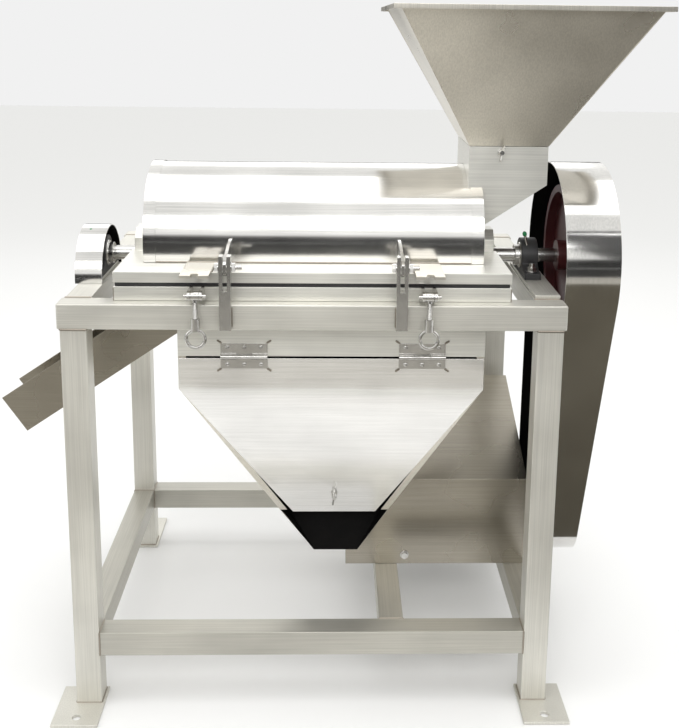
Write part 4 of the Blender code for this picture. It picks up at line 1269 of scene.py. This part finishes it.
@dataclass
class Studio:
    """Plain pale floor, soft lights, reflector cards and the camera."""

    camera_place: Triple = (0.0346, -2.2899, 1.3635)
    pitch: float = 0.2026
    yaw: float = 0.0307
    roll: float = 0.0128
    lens: float = 51.965
    shift: tuple[float, float] = (-0.0330, -0.1704)

    def camera(self) -> None:
        """Places the camera."""
        data = bpy.data.cameras.new("camera")
        data.lens = self.lens
        data.shift_x, data.shift_y = self.shift
        view = bpy.data.objects.new("camera", data)
        bpy.context.scene.collection.objects.link(view)
        ahead = Vector((math.sin(self.yaw), math.cos(self.yaw), 0.0)) * math.cos(self.pitch)
        ahead.z = -math.sin(self.pitch)
        level = Vector((math.cos(self.yaw), -math.sin(self.yaw), 0.0))
        upright = level.cross(ahead)
        right = level * math.cos(self.roll) + upright * math.sin(self.roll)
        top = upright * math.cos(self.roll) - level * math.sin(self.roll)
        turn = Matrix((right, top, -ahead)).transposed().to_4x4()
        view.matrix_world = Matrix.Translation(self.camera_place) @ turn
        bpy.context.scene.camera = view

    def flat(
        self, name: str, size: tuple[float, float], place: Vector, turn: Matrix, tone: Triple
    ) -> bpy.types.Object:
        """Makes a flat staged panel.

        Args:
            name: its name.
            size: width and length.
            place: its centre.
            turn: its rotation from lying flat.
            tone: its colour.

        Returns:
            The panel.
        """
        work = bmesh.new()
        bmesh.ops.create_grid(work, x_segments=1, y_segments=1, size=0.5)
        scale = Matrix.Diagonal((size[0], size[1], 1.0, 1.0))
        bmesh.ops.transform(work, matrix=Matrix.Translation(place) @ turn @ scale, verts=work.verts)
        data = bpy.data.meshes.new(name)
        work.to_mesh(data)
        work.free()
        shader = Shader(name)
        shader.surface.inputs["Base Color"].default_value = (*tone, 1.0)
        shader.surface.inputs["Roughness"].default_value = 0.9
        shader.surface.inputs["Specular IOR Level"].default_value = 0.1
        data.materials.append(shader.material)
        panel = bpy.data.objects.new(name, data)
        bpy.context.scene.collection.objects.link(panel)
        return panel

    def floor(self) -> None:
        """Makes the floor and the cards that the polished steel reflects."""
        level = Matrix.Identity(4)
        self.flat("floor", (30.0, 30.0), Vector((0, 0, -0.0005)), level, (0.86, 0.86, 0.86))
        far = self.flat("far_card", (18.0, 10.0), Vector((0.0, -8.7, 0.02)), level, (0.03, 0.03, 0.03))
        near = self.flat("near_card", (5.0, 2.95), Vector((-0.6, -2.225, 0.01)), level, (0.40, 0.385, 0.35))
        side = self.flat("side_card", (1.6, 2.2), Vector((1.37, -1.25, 0.03)), level, (0.085, 0.076, 0.058))
        upright = Matrix.Rotation(math.radians(-12.0), 4, "Y") @ Matrix.Rotation(math.radians(90.0), 4, "X")
        wall = self.flat("wall_card", (1.7, 2.3), Vector((1.95, -3.0, 2.25)), upright, (0.025, 0.025, 0.025))
        for card in (far, near, side, wall):
            card.visible_camera = False
            card.visible_shadow = False
            card.visible_diffuse = False

    def light(self, name: str, place: Vector, aim: Vector, size: tuple[float, float], power: float) -> None:
        """Adds a soft rectangular light.

        Args:
            name: its name.
            place: its centre.
            aim: the point that it faces.
            size: width and height.
            power: watts.
        """
        data = bpy.data.lights.new(name, "AREA")
        data.shape = "RECTANGLE"
        data.size, data.size_y = size
        data.energy = power
        lamp = bpy.data.objects.new(name, data)
        bpy.context.scene.collection.objects.link(lamp)
        turn = (place - aim).to_track_quat("Z", "Y").to_matrix().to_4x4()
        lamp.matrix_world = Matrix.Translation(place) @ turn
        lamp.visible_camera = False

    def lights(self) -> None:
        """Adds the soft boxes."""
        aim = Vector((0.0, 0.0, 0.7))
        self.light("top_box", Vector((0.0, -0.3, 3.6)), Vector((0, -0.1, 0)), (3.4, 2.6), 40.0)
        self.light("front_box", Vector((0.2, -3.3, 2.6)), aim, (3.2, 1.0), 42.0)
        self.light("left_box", Vector((-3.2, -1.2, 2.0)), aim, (1.8, 2.4), 8.0)
        self.light("right_box", Vector((3.2, -1.0, 2.2)), aim, (1.8, 2.4), 8.0)
        self.light("back_box", Vector((0.0, 3.4, 2.4)), aim, (3.0, 2.0), 12.0)

    def world(self) -> None:
        """Makes a pale surround that is darker at the horizon, as a room is behind the lights."""
        world = bpy.data.worlds.new("room")
        world.use_nodes = True
        bpy.context.scene.world = world
        tree = world.node_tree
        back = tree.nodes["Background"]
        coords = tree.nodes.new("ShaderNodeTexCoord")
        split = tree.nodes.new("ShaderNodeSeparateXYZ")
        tree.links.new(coords.outputs["Generated"], split.inputs[0])
        remap = tree.nodes.new("ShaderNodeMapRange")
        remap.inputs["From Min"].default_value = -1.0
        tree.links.new(split.outputs["Z"], remap.inputs["Value"])
        ramp = tree.nodes.new("ShaderNodeValToRGB")
        stops = ((0.0, 0.5), (0.50, 0.04), (0.553, 0.04), (0.568, 1.15), (0.65, 1.05), (1.0, 0.9))
        set_stops(ramp, [(place, (tone, tone, tone * 0.98)) for place, tone in stops])
        tree.links.new(remap.outputs["Result"], ramp.inputs["Fac"])
        path = tree.nodes.new("ShaderNodeLightPath")
        mix = tree.nodes.new("ShaderNodeMix")
        mix.data_type = "RGBA"
        mix.inputs[MIX_SECOND].default_value = (0.88, 0.88, 0.88, 1.0)
        tree.links.new(path.outputs["Is Camera Ray"], mix.inputs[0])
        tree.links.new(ramp.outputs["Color"], mix.inputs[MIX_FIRST])
        tree.links.new(mix.outputs[MIX_RESULT], back.inputs["Color"])
        back.inputs["Strength"].default_value = 1.0

    def build(self) -> None:
        """Sets the studio up."""
        bpy.context.scene.view_settings.view_transform = "Standard"
        self.camera()
        self.floor()
        self.lights()
        self.world()


def main() -> None:
    """Builds the studio and every sub-assembly in order."""
    logging.basicConfig(level=logging.INFO, format="%(message)s")
    Studio().build()
    finishes = Finishes()
    assemblies = (
        TubeFrame,
        DrumBody,
        FeedHopper,
        CoverHinge,
        SwingClamps,
        Discharge,
        ShaftAndBearings,
        BeltDrive,
        StemChute,
    )
    for assembly in assemblies:
        LOG.info("building %s", assembly.__name__)
        assembly(finishes).build()


if __name__ == "__main__":
    main()
